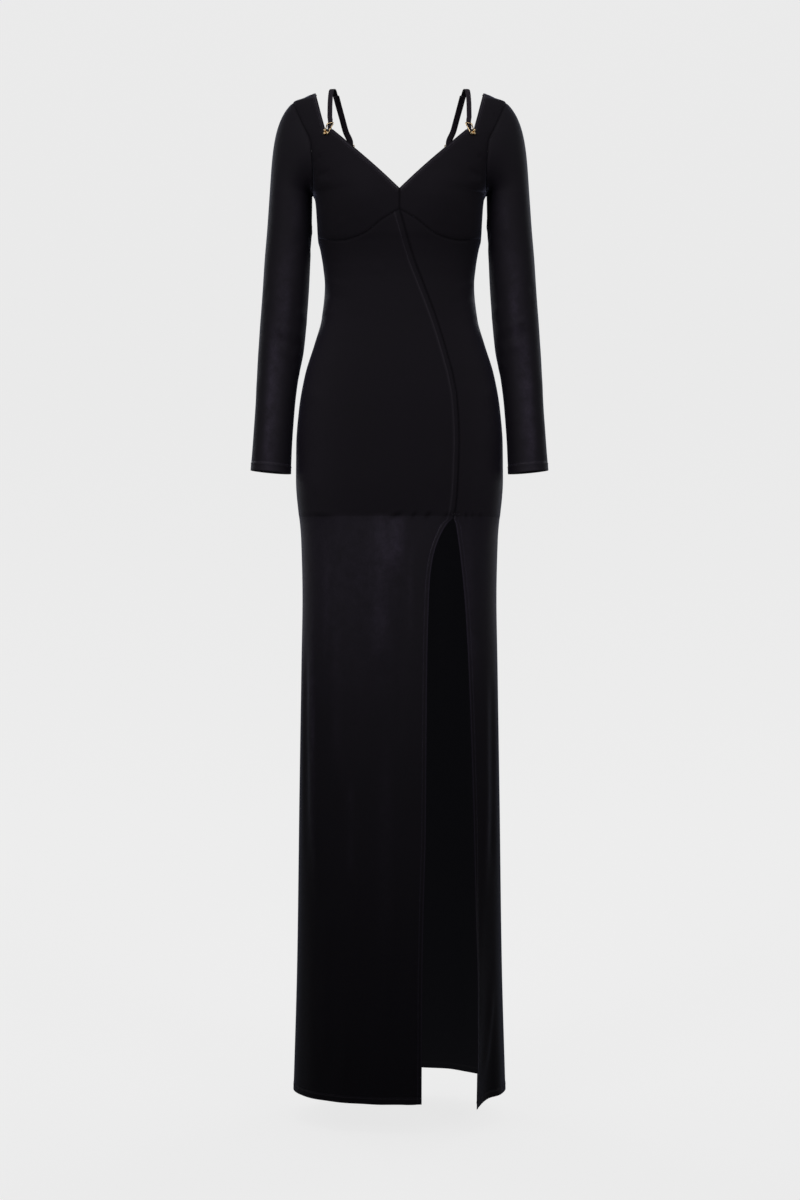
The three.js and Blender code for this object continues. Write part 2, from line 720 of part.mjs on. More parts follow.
// A round wire bent along a closed line of points
function wireLoop(points, radius, sides) {
  const count = points.length;
  const vertices = [];
  const triangles = [];
  const plane = new THREE.Vector3();
  for (let i = 0; i < count; i += 1) {
    plane.add(points[i].clone().cross(points[(i + 1) % count]));
  }
  plane.normalize();
  for (let i = 0; i < count; i += 1) {
    const along = points[(i + 1) % count].clone().sub(points[(i + count - 1) % count]).normalize();
    const outwards = along.clone().cross(plane).normalize();
    for (let k = 0; k < sides; k += 1) {
      const turn = 2 * Math.PI * k / sides;
      const point = points[i].clone()
        .addScaledVector(outwards, radius * Math.cos(turn))
        .addScaledVector(plane, radius * Math.sin(turn));
      vertices.push(point.x, point.y, point.z);
    }
  }
  for (let i = 0; i < count; i += 1) {
    const next = (i + 1) % count;
    for (let k = 0; k < sides; k += 1) {
      const after = (k + 1) % sides;
      const a = i * sides + k;
      const b = i * sides + after;
      const c = next * sides + after;
      const d = next * sides + k;
      triangles.push(a, c, b, a, d, c);
    }
  }
  return geometryOf(vertices, triangles);
}

// A bent wire ring with ball ends and a stud that goes through the eyelet in the cloth
function ring(rows, balls, eye, face, side, lean) {
  const frame = ringFrame(eye, face, side, lean);
  const corners = rows.map((row) => frame.place(row.across, row.up, 0));
  const curve = new THREE.CatmullRomCurve3(corners, true, 'centripetal');
  const points = curve.getPoints(ringSteps).slice(0, -1);
  let solid = manifoldOf(wireLoop(points, wire, wireSides));
  for (const at of balls) {
    const knob = new THREE.SphereGeometry(ball, 8, 5);
    const centre = frame.place(at.across, at.up, ball - wire);
    knob.translate(centre.x, centre.y, centre.z);
    solid = solid.add(manifoldOf(knob));
  }
  const back = wire + seamGap + wall + seamGap + facetDepth;
  const turn = new THREE.Quaternion().setFromUnitVectors(new THREE.Vector3(0, 1, 0), frame.out);
  const length = back + stud.headThick + wire;
  const post = new THREE.CylinderGeometry(stud.radius, stud.radius, length, 6);
  const head = new THREE.CylinderGeometry(stud.headRadius, stud.headRadius, stud.headThick, 8);
  const front = new THREE.CylinderGeometry(stud.plateRadius, stud.plateRadius, 1.8 * wire, 8);
  post.applyQuaternion(turn);
  head.applyQuaternion(turn);
  front.applyQuaternion(turn);
  const postAt = frame.place(0, 0, wire - length / 2);
  const headAt = frame.place(0, 0, -back - stud.headThick / 2);
  post.translate(postAt.x, postAt.y, postAt.z);
  head.translate(headAt.x, headAt.y, headAt.z);
  front.translate(frame.centre.x, frame.centre.y, frame.centre.z);
  return geometryFrom(solid.add(manifoldOf(front)).add(manifoldOf(post)).add(manifoldOf(head)));
}

// A flat strip of even thickness along stations that give its middle, width and edge line
function ribbon(stations) {
  const vertices = [];
  const triangles = [];
  const last = stations.length - 1;
  stations.forEach((station, i) => {
    const before = stations[Math.max(i - 1, 0)].middle;
    const after = stations[Math.min(i + 1, last)].middle;
    const along = after.clone().sub(before).normalize();
    const across = station.across.clone().addScaledVector(along, -station.across.dot(along)).normalize();
    const out = across.clone().cross(along).normalize();
    for (const [w, h] of [[-1, -1], [1, -1], [1, 1], [-1, 1]]) {
      const point = station.middle.clone()
        .addScaledVector(across, w * station.width / 2)
        .addScaledVector(out, h * strapThick / 2);
      vertices.push(point.x, point.y, point.z);
    }
  });
  for (let i = 0; i < last; i += 1) {
    for (let k = 0; k < 4; k += 1) {
      const a = 4 * i + k;
      const b = 4 * i + (k + 1) % 4;
      splitQuad(vertices, triangles, a, a + 4, b + 4, b);
    }
  }
  const end = 4 * last;
  triangles.push(0, 1, 2, 0, 2, 3, end, end + 2, end + 1, end, end + 3, end + 2);
  return geometryOf(vertices, triangles);
}

// Stations of the strap on the wearer's left, from its sewn tail behind the front neckline,
// through the front ring, over the shoulder, round the bar of the back ring and up again
function strapStations() {
  const front = ringFrame(frontEye, 1, 1, 0);
  const back = ringFrame(backEye, -1, 1, backRingLean);
  const stations = [];
  const outwards = front.inwards.clone().negate();
  for (const at of strapTailRows) {
    stations.push({ middle: front.place(at.across, at.up, at.depth), width: at.width, across: outwards });
  }
  for (const row of strapRows) {
    const lean = row.lean * toRadians;
    const across = new THREE.Vector3(Math.cos(lean), 0, -Math.sin(lean));
    stations.push({ middle: new THREE.Vector3(row.x, row.y, row.z), width: row.width, across });
  }
  const edge = back.inwards.clone().negate();
  const around = wire + seamGap + strapThick / 2;
  const width = strapRows[strapRows.length - 1].width;
  stations.push({ middle: back.place(0, barTop + barLead, around), width, across: edge });
  for (let i = 0; i <= barSteps; i += 1) {
    const turn = Math.PI * i / barSteps;
    const middle = back.place(0, barTop - around * Math.sin(turn), around * Math.cos(turn));
    stations.push({ middle, width, across: edge });
  }
  return { stations, back, edge, around, width };
}

function strap(isLeft) {
  const { stations, back, edge, around, width } = strapStations();
  const lead = back.place(strapReturnShift / 2, barTop + barLead, -around);
  stations.push({ middle: lead, width, across: edge });
  const offset = strapThick + seamGap;
  for (let i = strapRows.length - 1; i >= strapReturnEnd; i -= 1) {
    const row = strapRows[i];
    const before = strapRows[i - 1];
    const after = i + 1 < strapRows.length ? strapRows[i + 1] : row;
    const along = new THREE.Vector3(after.x - before.x, after.y - before.y, after.z - before.z);
    const lean = row.lean * toRadians;
    const across = new THREE.Vector3(Math.cos(lean), 0, -Math.sin(lean));
    across.addScaledVector(along, -across.dot(along) / along.lengthSq()).normalize();
    const out = across.clone().cross(along).normalize();
    const middle = new THREE.Vector3(row.x, row.y, row.z)
      .addScaledVector(out, -offset)
      .addScaledVector(across, -strapReturnShift);
    stations.push({ middle, width, across });
  }
  if (!isLeft) {
    for (const station of stations) {
      station.middle.x *= -1;
      station.across = station.across.clone();
      station.across.x *= -1;
      station.across.negate();
    }
  }
  return ribbon(stations);
}

function clothMaterial() {
  return new THREE.MeshStandardMaterial({ color: colours.cloth, roughness: 0.82, metalness: 0 });
}

function strapMaterial() {
  return new THREE.MeshStandardMaterial({ color: colours.strap, roughness: 0.7, metalness: 0 });
}

function goldMaterial() {
  return new THREE.MeshStandardMaterial({ color: colours.gold, roughness: 0.22, metalness: 1 });
}

function piece(name, geometry, material) {
  const mesh = new THREE.Mesh(geometry, material);
  mesh.name = name;
  return mesh;
}

const dress = new THREE.Group();
dress.add(piece('front_main', lowerFrontPanel('main'), clothMaterial()));
dress.add(piece('front_side', lowerFrontPanel('side'), clothMaterial()));
dress.add(piece('back', backPanel(), clothMaterial()));
for (const isLeft of [true, false]) {
  const label = isLeft ? 'left' : 'right';
  const side = isLeft ? 1 : -1;
  const frontRing = ring(frontRingRows, frontBalls, frontEye, 1, side, 0);
  const backRing = ring(backRingRows, backBalls, backEye, -1, side, backRingLean);
  dress.add(piece(`bust_${label}`, bustPanel(isLeft), clothMaterial()));
  dress.add(piece(`sleeve_${label}`, sleeve(isLeft), clothMaterial()));
  dress.add(piece(`strap_${label}`, strap(isLeft), strapMaterial()));
  dress.add(piece(`ring_front_${label}`, frontRing, goldMaterial()));
  dress.add(piece(`ring_back_${label}`, backRing, goldMaterial()));
}

export default dress;
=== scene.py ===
# The looks of the long black jersey dress: cloth shells over the solid walls, stitched hems
# and seams, shoulder tapes and small wire rings, in a pale studio.
import math

import bmesh
import bpy
import numpy as np
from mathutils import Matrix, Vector


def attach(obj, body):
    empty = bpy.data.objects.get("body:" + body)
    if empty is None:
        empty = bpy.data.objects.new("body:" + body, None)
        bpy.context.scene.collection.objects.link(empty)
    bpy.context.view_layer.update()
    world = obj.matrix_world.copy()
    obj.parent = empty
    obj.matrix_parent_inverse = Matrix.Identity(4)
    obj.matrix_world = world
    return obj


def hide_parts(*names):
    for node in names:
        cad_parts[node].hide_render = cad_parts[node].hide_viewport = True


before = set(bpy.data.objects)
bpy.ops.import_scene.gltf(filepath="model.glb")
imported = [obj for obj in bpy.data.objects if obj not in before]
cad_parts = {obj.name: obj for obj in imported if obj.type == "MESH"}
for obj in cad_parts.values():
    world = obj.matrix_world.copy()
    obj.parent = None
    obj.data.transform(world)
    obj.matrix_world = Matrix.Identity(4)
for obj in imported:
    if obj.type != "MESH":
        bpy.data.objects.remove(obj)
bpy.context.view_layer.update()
metre = 0.001  # the tables below are in millimetres
print("frame loaded:", len(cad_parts), "nodes")

# Sections of the worn form from the hem up: half width, depth to front and back, squareness
form = {
    "z": [-1568, -1367, -1116, -896, -800, -708, -613, -560, -504, -450, -400, -362, -308, -284,
          -252, -238, -205, -174, -164.6, -139.5, -113, -95, -68, -39.4, -23.2, -17, -10.7, -8],
    "half": [165.4, 159.7, 156.2, 152.8, 151.3, 153.4, 161.2, 160.8, 156.5, 147, 131.6, 121, 115.9,
             118.1, 123.4, 126.9, 128.9, 131.6, 135.8, 145, 156, 163, 171, 171.5, 167, 152, 139.7,
             131.6],
    "front": [120, 111, 100, 93, 92, 94, 97, 97, 97, 95, 91, 88, 86, 88, 96, 101, 107, 110, 110,
              108, 102, 96, 82, 62, 46, 38, 27, 16],
    "back": [161, 147, 132, 121, 118.5, 119.5, 124.5, 127, 122, 107, 90, 79, 73, 75, 84, 89, 98,
             103, 104, 103, 100, 96, 84, 62, 45, 37, 26, 15],
    "power": [2.05, 2.25, 2.5, 2.6, 2.55, 2.45, 2.35, 2.3, 2.3, 2.3, 2.25, 2.2, 2.2, 2.2, 2.25,
              2.3, 2.4, 2.45, 2.5, 2.5, 2.5, 2.5, 2.5, 2.5, 2.5, 2.5, 2.5, 2.5],
}
heights = {"hem": -1568, "waistSide": -238, "waistCentre": -206, "slitTop": -676,
           "armpit": -164.6, "shoulder": -23.2, "lining": -673.5}
armMiddle = (heights["armpit"] + heights["shoulder"]) / 2
armReach = (heights["shoulder"] - heights["armpit"]) / 2
bust = {"apart": 66, "height": -186, "reachX": 42, "reachZ": 44, "lift": 12}
curl = {"start": -1120, "depth": 30, "reach": 26, "drop": 8}
armhole = {"z": [-164.6, -155, -139.5, -113, -95, -84.8, -68, -39.4, -23.2],
           "x": [135.8, 134.2, 133.8, 135.2, 137, 140.6, 148.7, 160.6, 167]}
frontNeck = {"row": [0, 2, 11, 12, 14, 17], "x": [0, 0, 102, 114, 120.6, 131.6],
             "z": [-206, -175, -79.5, -78, -53, -8]}
backNeck = {"row": [0, 5, 9, 10, 12, 14, 16, 17], "x": [0, 0, 67, 80, 113, 122, 128.6, 131.6],
            "z": [-238, -150, -84, -79, -64, -50, -30, -8]}
waistSeam = {"x": [0, 26, 52, 70, 87, 108, 126.9],
             "z": [-206, -221, -240, -246.5, -249, -246, -238]}
slant = {"z": [-676, -660, -604, -556, -498, -455, -434, -367, -312, -285, -245, -225, -206],
         "x": [82.6, 86.4, 90.3, 91.6, 88.8, 81.5, 76, 55.7, 35, 24.5, 11.4, 5.6, 0]}
slit = {"z": [-1568, -1407, -1273, -1160, -1005, -889, -812, -773, -735, -713, -701, -690, -683,
              -676],
        "main": [33.4, 34.4, 36.8, 40, 41.3, 42.6, 44.6, 46.4, 51.6, 58.2, 63.4, 69.5, 74.5, 82.6],
        "side": [117, 119.5, 116.2, 114, 109.5, 105, 100.6, 97.2, 93, 90.2, 88.4, 86.8, 85.4,
                 82.6]}
# Upright folds of the skirt: degrees where they start and end, start height, lift and width
folds = [
    (152, 150, -980, 2.5, 8), (128, 130, -1040, 2.6, 9), (107, 105, -1180, 2.0, 7),
    (84, 82, -1260, 2.2, 5), (22, 20, -1180, 3.0, 7), (-28, -30, -960, 4.5, 9),
    (-58, -61, -1060, 5.0, 8), (-93, -90, -900, 4.0, 10), (-124, -121, -1080, 5.0, 8),
    (-152, -154, -980, 4.5, 9),
]
neckRows = 17  # rows of the table from the waist seam to the shoulder
sideRows = 5  # of them up the side seam
armSteps = 12


def hermite(t, a, b, leave, arrive):
    # a cubic from a to b that leaves and arrives with the given slopes
    return ((2 * t**3 - 3 * t**2 + 1) * a + (t**3 - 2 * t**2 + t) * leave
            + (3 * t**2 - 2 * t**3) * b + (t**3 - t**2) * arrive)


def readTable(table, place, column, at):
    # a smooth cubic through the rows, with slopes that never overshoot the rows beside them
    x, y = np.array(table[place], float), np.array(table[column], float)
    gap = np.diff(x)
    rise = np.diff(y) / gap
    before, after = rise[:-1], rise[1:]
    turns = before * after <= 0
    weightA, weightB = 2 * gap[1:] + gap[:-1], gap[1:] + 2 * gap[:-1]
    middle = (weightA + weightB) / (weightA / np.where(turns, 1, before)
                                    + weightB / np.where(turns, 1, after))
    slope = np.concatenate([rise[:1], np.where(turns, 0, middle), rise[-1:]])
    at = np.clip(np.asarray(at, float), x[0], x[-1])
    i = np.clip(np.searchsorted(x, at, side="right") - 1, 0, len(x) - 2)
    t = (at - x[i]) / gap[i]
    return hermite(t, y[i], y[i + 1], slope[i] * gap[i], slope[i + 1] * gap[i])


def mix(a, b, t):
    # a at 0, b at 1
    return a + (b - a) * t


def smooth(t):
    # rises from 0 to 1 with level ends
    t = np.clip(t, 0, 1)
    return t * t * (3 - 2 * t)


def bell(offset, width):
    # 1 at no offset, falling off smoothly on both sides
    return np.exp(-(offset / width) ** 2)


def unit(v):
    # vectors brought to length 1
    return v / np.maximum(np.linalg.norm(v, axis=-1, keepdims=True), 1e-9)


def angleAt(x, z, side):
    # the angle on the form of the point of the front (side 1) or back (side -1) at x and z
    half = readTable(form, "z", "half", z)
    depth = readTable(form, "z", "front" if side > 0 else "back", z)
    power = readTable(form, "z", "power", z)
    share = np.minimum(np.abs(x) / half, 1)
    return side * np.arctan2(depth * (1 - share**power) ** (1 / power), x)


def formPoint(angle, z):
    # a superellipse whose half width, depth and power change with height, plus upright folds
    # and the shaping over the bust
    angle, z = np.broadcast_arrays(np.asarray(angle, float), np.asarray(z, float))
    c, s = np.cos(angle), np.sin(angle)
    half = readTable(form, "z", "half", z)
    depth = np.where(s > 0, readTable(form, "z", "front", z), readTable(form, "z", "back", z))
    power = readTable(form, "z", "power", z)
    radius = ((np.abs(c) / half) ** power + (np.abs(s) / depth) ** power) ** (-1 / power)
    for first, last, start, lift, wide in folds:
        t = (start - z) / (start - heights["hem"])
        middle = np.radians(mix(first, last, t))
        radius = radius + lift * smooth(t) * bell(angle - middle, math.radians(wide))
    x, y = radius * c, -radius * s
    front = np.maximum(s, 0)
    y = y - bust["lift"] * front * bell(np.abs(x) - bust["apart"], bust["reachX"]) \
        * bell(z - bust["height"], bust["reachZ"])
    return np.stack([x, y, z], axis=-1)


def sidePanelPoint(angle, z):
    # the same form, with the free edge beside the slit turned forward and hanging lower
    point = formPoint(angle, z).copy()
    t = smooth((curl["start"] - z) / (curl["start"] - heights["hem"]))
    fromEdge = point[..., 0] - readTable(slit, "z", "side", z)
    near = np.clip(1 - fromEdge / curl["reach"], 0, 1)
    point[..., 1] -= curl["depth"] * t * near**2
    point[..., 2] -= curl["drop"] * t * near**2
    return point


def withNormals(surface, angle, z):
    # points of the surface, and the normals there from small steps round it and up it
    across = surface(angle + 0.01, z) - surface(angle - 0.01, z)
    up = surface(angle, z + 0.5) - surface(angle, z - 0.5)
    return surface(angle, z), unit(np.cross(up, across))


def edgeSpaced(count, crowd=0.78):
    # numbers from 0 to 1 that lie closer together near both ends
    x = np.linspace(0, 1, count)
    return x - crowd / (2 * math.pi) * np.sin(2 * math.pi * x)


def fullTurn(count):
    # angles once round a circle
    return np.linspace(0, 2 * math.pi, count, endpoint=False)


def mirrored(side, points, normals, *shades):
    # a grid of the left side, or the same one on the right when side is -1
    flip = np.array([side, 1, 1])
    return points * flip, normals * flip, *shades


def runAlong(points, axis=0):
    # the length covered along a line of points, or along each line of a grid, from 0
    step = np.linalg.norm(np.diff(points, axis=axis), axis=-1)
    return np.insert(np.cumsum(step, axis=axis), 0, 0, axis=axis)


def turned(grid, side):
    # the grid seen so that the named side is its first column
    if side in ("low", "high"):
        grid = np.swapaxes(grid, 0, 1)
    return grid[:, ::-1] if side in ("high", "end") else grid


def turnedBack(grid, side):
    # a turned grid as it was
    if side in ("high", "end"):
        grid = grid[:, ::-1]
    return np.swapaxes(grid, 0, 1) if side in ("low", "high") else grid


def edgeDistance(points, side):
    # length of the grid line to that side, times the sine of the angle at which it meets it
    grid = turned(points, side)
    line, edge = unit(grid[:, 1] - grid[:, 0]), unit(np.gradient(grid[:, 0], axis=0))
    sine = np.clip(np.linalg.norm(np.cross(line, edge), axis=-1), 0.3, 1)
    return turnedBack(runAlong(grid, 1) * sine[:, None], side)


def lineInside(points, normals, side, inset, first=0, last=None):
    # the line on the surface that keeps a given distance from one side of the grid
    distance = turned(edgeDistance(points, side), side)
    grid, out = turned(points, side), turned(normals, side)
    rows = np.arange(len(grid))
    i = np.maximum(np.argmax(distance >= inset, axis=1), 1)
    low, high = distance[rows, i - 1], distance[rows, i]
    t = np.clip((inset - low) / (high - low), 0, 1)[:, None]
    line = mix(grid[rows, i - 1], grid[rows, i], t)[first:last]
    return line, unit(mix(out[rows, i - 1], out[rows, i], t))[first:last]


def creaseRelief(across, up, creases):
    # each crease is a line between two places: a bell across it that fades at both ends,
    # bends to one side and swells and sinks unevenly along its length
    relief = np.zeros(np.broadcast(across, up).shape)
    for x0, y0, x1, y1, width, depth, bend in creases:
        dx, dy = x1 - x0, y1 - y0
        length = math.hypot(dx, dy)
        t = ((across - x0) * dx + (up - y0) * dy) / length**2
        off = ((across - x0) * dy - (up - y0) * dx) / length - bend * 4 * t * (1 - t)
        uneven = 1 + 0.25 * np.sin(7.3 * t + x0) + 0.15 * np.sin(17.1 * t + y1)
        relief += depth * uneven * smooth(t / 0.3) * smooth((1 - t) / 0.3) * bell(off, width)
    return relief


def besideSeams(distances, depth, width):
    # the share left when each seam takes that depth away beside itself
    return math.prod(1 - depth * bell(distance, width) for distance in distances)


def offSeams(*distances):
    # 0 on a sewn seam, where the cloth turns in, and 1 away from all of them
    return besideSeams(distances, 1, 2.1)


def seamShade(*distances):
    # the share of its colour that cloth keeps beside its sewn seams, which lie in shadow
    return besideSeams(distances, 0.36, 1.5)


def paintedHemHighlight(distance, hem, edge=0.7):
    # painted highlight: extra brightness along the stitching and along the rolled edge, where the
    # raised cloth catches the light
    return 0.8 * bell(distance - hem, 1.0) + edge * bell(distance - 0.9, 1.1)


def paintedNeckHighlight(distance):
    # painted highlight along the narrow rolled edge of a neckline, and along its stitching
    return 1.7 * bell(distance - 2.7, 1.0) + 0.4 * bell(distance - cloth["neckHem"], 0.9)


def singleShare(z):
    # 1 where the cloth hangs single, below the lining's edge
    return 1 - smooth((z - heights["lining"] + 1) / 2)


def paintedLiningShadow(z):
    # a narrow painted shadow just above the lining's edge
    return 1 - 0.45 * bell(z - heights["lining"] - 2, 1.4)


def paintedHipRim(angle, z):
    # painted rim light: how much paler the cloth is painted down the sides of the hips, where it is
    # also made sleeker; painted shade on the sides lower down
    away = np.minimum(np.abs(angle), np.abs(math.pi - np.abs(angle)))
    level = mix(-0.3, 1.05, smooth((z + 1020) / 260)) * (1 - smooth((z + 380) / 140))
    return bell(away, 0.44) * level


def hemRelief(distance, along, hem, pucker=0.22):
    # two layers up to the stitching, a groove under the stitches and small puckers beside it
    layers = 0.3 * (1 - smooth((distance - hem + 1.2) / 1.6))
    groove = -0.4 * bell(distance - hem, 0.9)
    ripple = pucker * np.sin(along / 2.1 + 2 * np.sin(along / 13)) * bell(distance - hem, 3.5)
    return layers + groove + ripple


# Cloth shells, named for the part of the dress they cover
cloth = {
    "thickness": 1.1,
    "roundEdge": 0.25,
    "rise": 0.8,
    "creaseFade": 14,
    "hem": 9.5,
    "cuffHem": 13,
    "neckHem": 5.6,
    "slitHem": 6.2,
    "slantWelt": 9,
    "rowsBelow": 300,
    "columnsMain": 104,
    "columnsSide": 72,
    "columnsBack": 58,
    "columnsBust": 66,
    "rowsPerStep": 8,
    "sleeveRound": 88,
    "sleeveRows": 150,
}


def meshObject(name, vertices, faces, material, uv=None, tones=None):
    # vertices in millimetres become a smooth mesh in metres, with its own UV map in metres and
    # its own painted light and shade and painted highlights at each vertex
    mesh = bpy.data.meshes.new(name)
    mesh.from_pydata((np.asarray(vertices) * metre).tolist(), [], np.asarray(faces).tolist())
    if uv is not None:
        layer = mesh.uv_layers.new(name="clothMap")
        corners = np.empty(len(mesh.loops), np.int32)
        mesh.loops.foreach_get("vertex_index", corners)
        layer.data.foreach_set("uv", (uv[corners] * metre).astype(np.float32).ravel())
    for label, values in (tones or {}).items():
        layer = mesh.attributes.new(label, "FLOAT", "POINT")
        layer.data.foreach_set("value", values.astype(np.float32))
    mesh.shade_smooth()
    mesh.materials.append(material)
    piece = bpy.data.objects.new(name, mesh)
    bpy.context.collection.objects.link(piece)
    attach(piece, "root")
    return piece


def gridFaces(rows, columns, closedRound=False, flip=False, closedRows=False):
    # four corners of every cell of a grid of vertices, counted row by row
    r, c = np.meshgrid(np.arange(rows if closedRows else rows - 1),
                       np.arange(columns if closedRound else columns - 1), indexing="ij")
    here, above, after = r * columns, (r + 1) % rows * columns, (c + 1) % columns
    faces = np.stack([here + c, here + after, above + after, above + c], axis=-1).reshape(-1, 4)
    return faces[:, ::-1] if flip else faces


def joined(parts):
    # the vertices and faces of several parts as those of one mesh
    starts = np.cumsum([0] + [len(v) for v, f in parts[:-1]])
    return (np.concatenate([v for v, f in parts]),
            np.concatenate([f + start for (v, f), start in zip(parts, starts)]))


def clothMap(points):
    # distance along each row, and the mean distance up the columns
    across = runAlong(points, 1)
    up = runAlong(points).mean(axis=1)[:, None] + 0 * across
    return np.stack([across, up], axis=-1).reshape(-1, 2)


def shellPiece(name, sheets, material, closedRound=False, weld=False):
    # grids of outer points, with their normals and tones, given an even thickness inwards and
    # a soft rim
    parts, maps, tones, paintedHighlightParts = [], [], [], []
    for points, out, tone, thin in sheets:
        across = points[1:, 1:] - points[1:, :-1]
        up = points[1:, 1:] - points[:-1, 1:]
        facing = np.sum(np.cross(across, up) * out[1:, 1:])
        shape = points.shape[:2]
        parts.append((points.reshape(-1, 3), gridFaces(*shape, closedRound, facing < 0)))
        maps.append(clothMap(points))
        tones.append(np.broadcast_to(tone, shape).ravel())
        paintedHighlightParts.append(np.broadcast_to(thin, shape).ravel())
    piece = meshObject(name, *joined(parts), material, np.concatenate(maps),
                       {"tone": np.concatenate(tones), "thin": np.concatenate(paintedHighlightParts)})
    if weld:
        join = piece.modifiers.new("centre", "WELD")
        join.merge_threshold = 0.02 * metre
    shell = piece.modifiers.new("thickness", "SOLIDIFY")
    shell.thickness = cloth["thickness"] * metre
    piece.data.materials.append(innerCloth)
    shell.material_offset = 1
    shell.offset = -1
    edge = piece.modifiers.new("rim", "BEVEL")
    edge.width = cloth["roundEdge"] * metre
    edge.segments = 2
    edge.limit_method = "ANGLE"
    edge.angle_limit = math.radians(60)
    return piece


# Knit and tape finishes; the wave lengths are in millimetres
jersey = {
    "colour": (0.0099, 0.0082, 0.0124, 1),
    "lowerColour": (0.0112, 0.0093, 0.0150, 1),
    # the inner faces are paler than the outer ones and glow: painted light for the room's light
    # inside the cloth
    "innerColour": (0.0150, 0.0135, 0.0175, 1),
    "innerGlow": (0.0025, 0.0025, 0.0031, 1),
    "sheenColour": (0.62, 0.68, 1.0, 1),
    "sheen": 0.40,
    "innerSheen": 0.04,
    "roughness": 0.86,
    "lowerRoughness": 0.64,
    "sleekest": 0.38,
    "sleekWithTone": 0.42,
    "wale": 1.3,
    "course": 1.7,
}
tape = {"colour": (0.0300, 0.0235, 0.0330, 1), "ribs": 1.5, "weft": 0.9}
gold = {"colour": (0.83, 0.60, 0.30, 1), "worn": (0.92, 0.74, 0.46, 1), "sleekest": 0.11,
        "dullest": 0.27}
thread = {"dark": (0.024, 0.0216, 0.030, 1), "light": (0.072, 0.0648, 0.090, 1),
          "roughness": 0.42}


def addNode(tree, kind, values=None, **settings):
    # a node whose sockets take a value of their own or a link from another node
    node = tree.nodes.new("ShaderNode" + kind)
    for key, value in settings.items():
        setattr(node, key, value)
    for key, value in (values or {}).items():
        if isinstance(value, bpy.types.NodeSocket):
            tree.links.new(value, node.inputs[key])
        else:
            node.inputs[key].default_value = value
    return node


def maths(tree, operation, *values):
    # one operation on numbers or sockets
    return addNode(tree, "Math", dict(enumerate(values)), operation=operation).outputs[0]


def noise(tree, place, scale, detail, roughness=0.5):
    # soft grain that keeps its place on the object
    values = {"Vector": place, "Scale": scale, "Detail": detail, "Roughness": roughness}
    return addNode(tree, "TexNoise", values).outputs["Fac"]


def ranged(tree, value, low, high, start=0, end=1):
    # carried from between start and end to between low and high
    values = {"Value": value, "From Min": start, "From Max": end, "To Min": low, "To Max": high}
    return addNode(tree, "MapRange", values).outputs["Result"]


def blended(tree, a, b, share=1, how="MIX", kind="RGBA"):
    # a at share 0, and b, or a times b, at share 1
    values = {"Factor": share, "A": a, "B": b}
    return addNode(tree, "Mix", values, data_type=kind, blend_type=how).outputs["Result"]


def bumped(tree, height, strength, distance):
    # the normal over small heights
    values = {"Height": height, "Strength": strength, "Distance": distance}
    return addNode(tree, "Bump", values).outputs["Normal"]


def objectPlace(tree):
    # a place on the object, in metres
    return addNode(tree, "TexCoord").outputs["Object"]


def mapTurns(tree, *lengths):
    # the piece's own map, across and up, as the angles of waves of these lengths
    chart = addNode(tree, "UVMap", uv_map="clothMap").outputs["UV"]
    parts = addNode(tree, "SeparateXYZ", {0: chart}).outputs
    return [maths(tree, "MULTIPLY", parts[axis], 2 * math.pi / (length * metre))
            for axis, length in enumerate(lengths)]


def knitGroup():
    # loops of the knit: upright wales crossed by courses, with soft lint over them
    group = bpy.data.node_groups.new("knit", "ShaderNodeTree")
    for way, kind, labels in (("INPUT", "Float", ("Across", "Up")), ("INPUT", "Vector", ("Place",)),
                              ("OUTPUT", "Float", ("Height", "Tone", "Mottle"))):
        for label in labels:
            group.interface.new_socket(label, in_out=way, socket_type="NodeSocket" + kind)
    given = group.nodes.new("NodeGroupInput").outputs
    result = group.nodes.new("NodeGroupOutput").inputs
    grain = noise(group, given["Place"], 420, 2, 0.6)
    cloud = noise(group, given["Place"], 9, 3, 0.55)
    stretched = addNode(group, "Mapping", {"Vector": given["Place"], "Scale": (58, 58, 50)})
    patchy = noise(group, stretched.outputs["Vector"], 1, 5, 0.72)
    courses = maths(group, "MULTIPLY", maths(group, "SINE", given["Up"]), 0.12)
    loops = maths(group, "MULTIPLY_ADD", maths(group, "SINE", given["Across"]), 0.30, courses)
    lint = maths(group, "MULTIPLY", cloud, 0.55)
    for label, value in (("Height", maths(group, "MULTIPLY_ADD", grain, 0.9, loops)),
                         ("Tone", maths(group, "MULTIPLY_ADD", grain, 0.45, lint)),
                         ("Mottle", ranged(group, patchy, 0.3, 1.6, 0.3, 0.7))):
        group.links.new(value, result[label])
    return group


def startMaterial(name):
    # a material without nodes
    material = bpy.data.materials.new(name)
    material.use_nodes = True
    material.node_tree.nodes.clear()
    return material, material.node_tree


def finishMaterial(tree, values):
    # the shader with these sockets, on the surface
    shader = addNode(tree, "BsdfPrincipled", values)
    addNode(tree, "OutputMaterial", {"Surface": shader.outputs[0]})


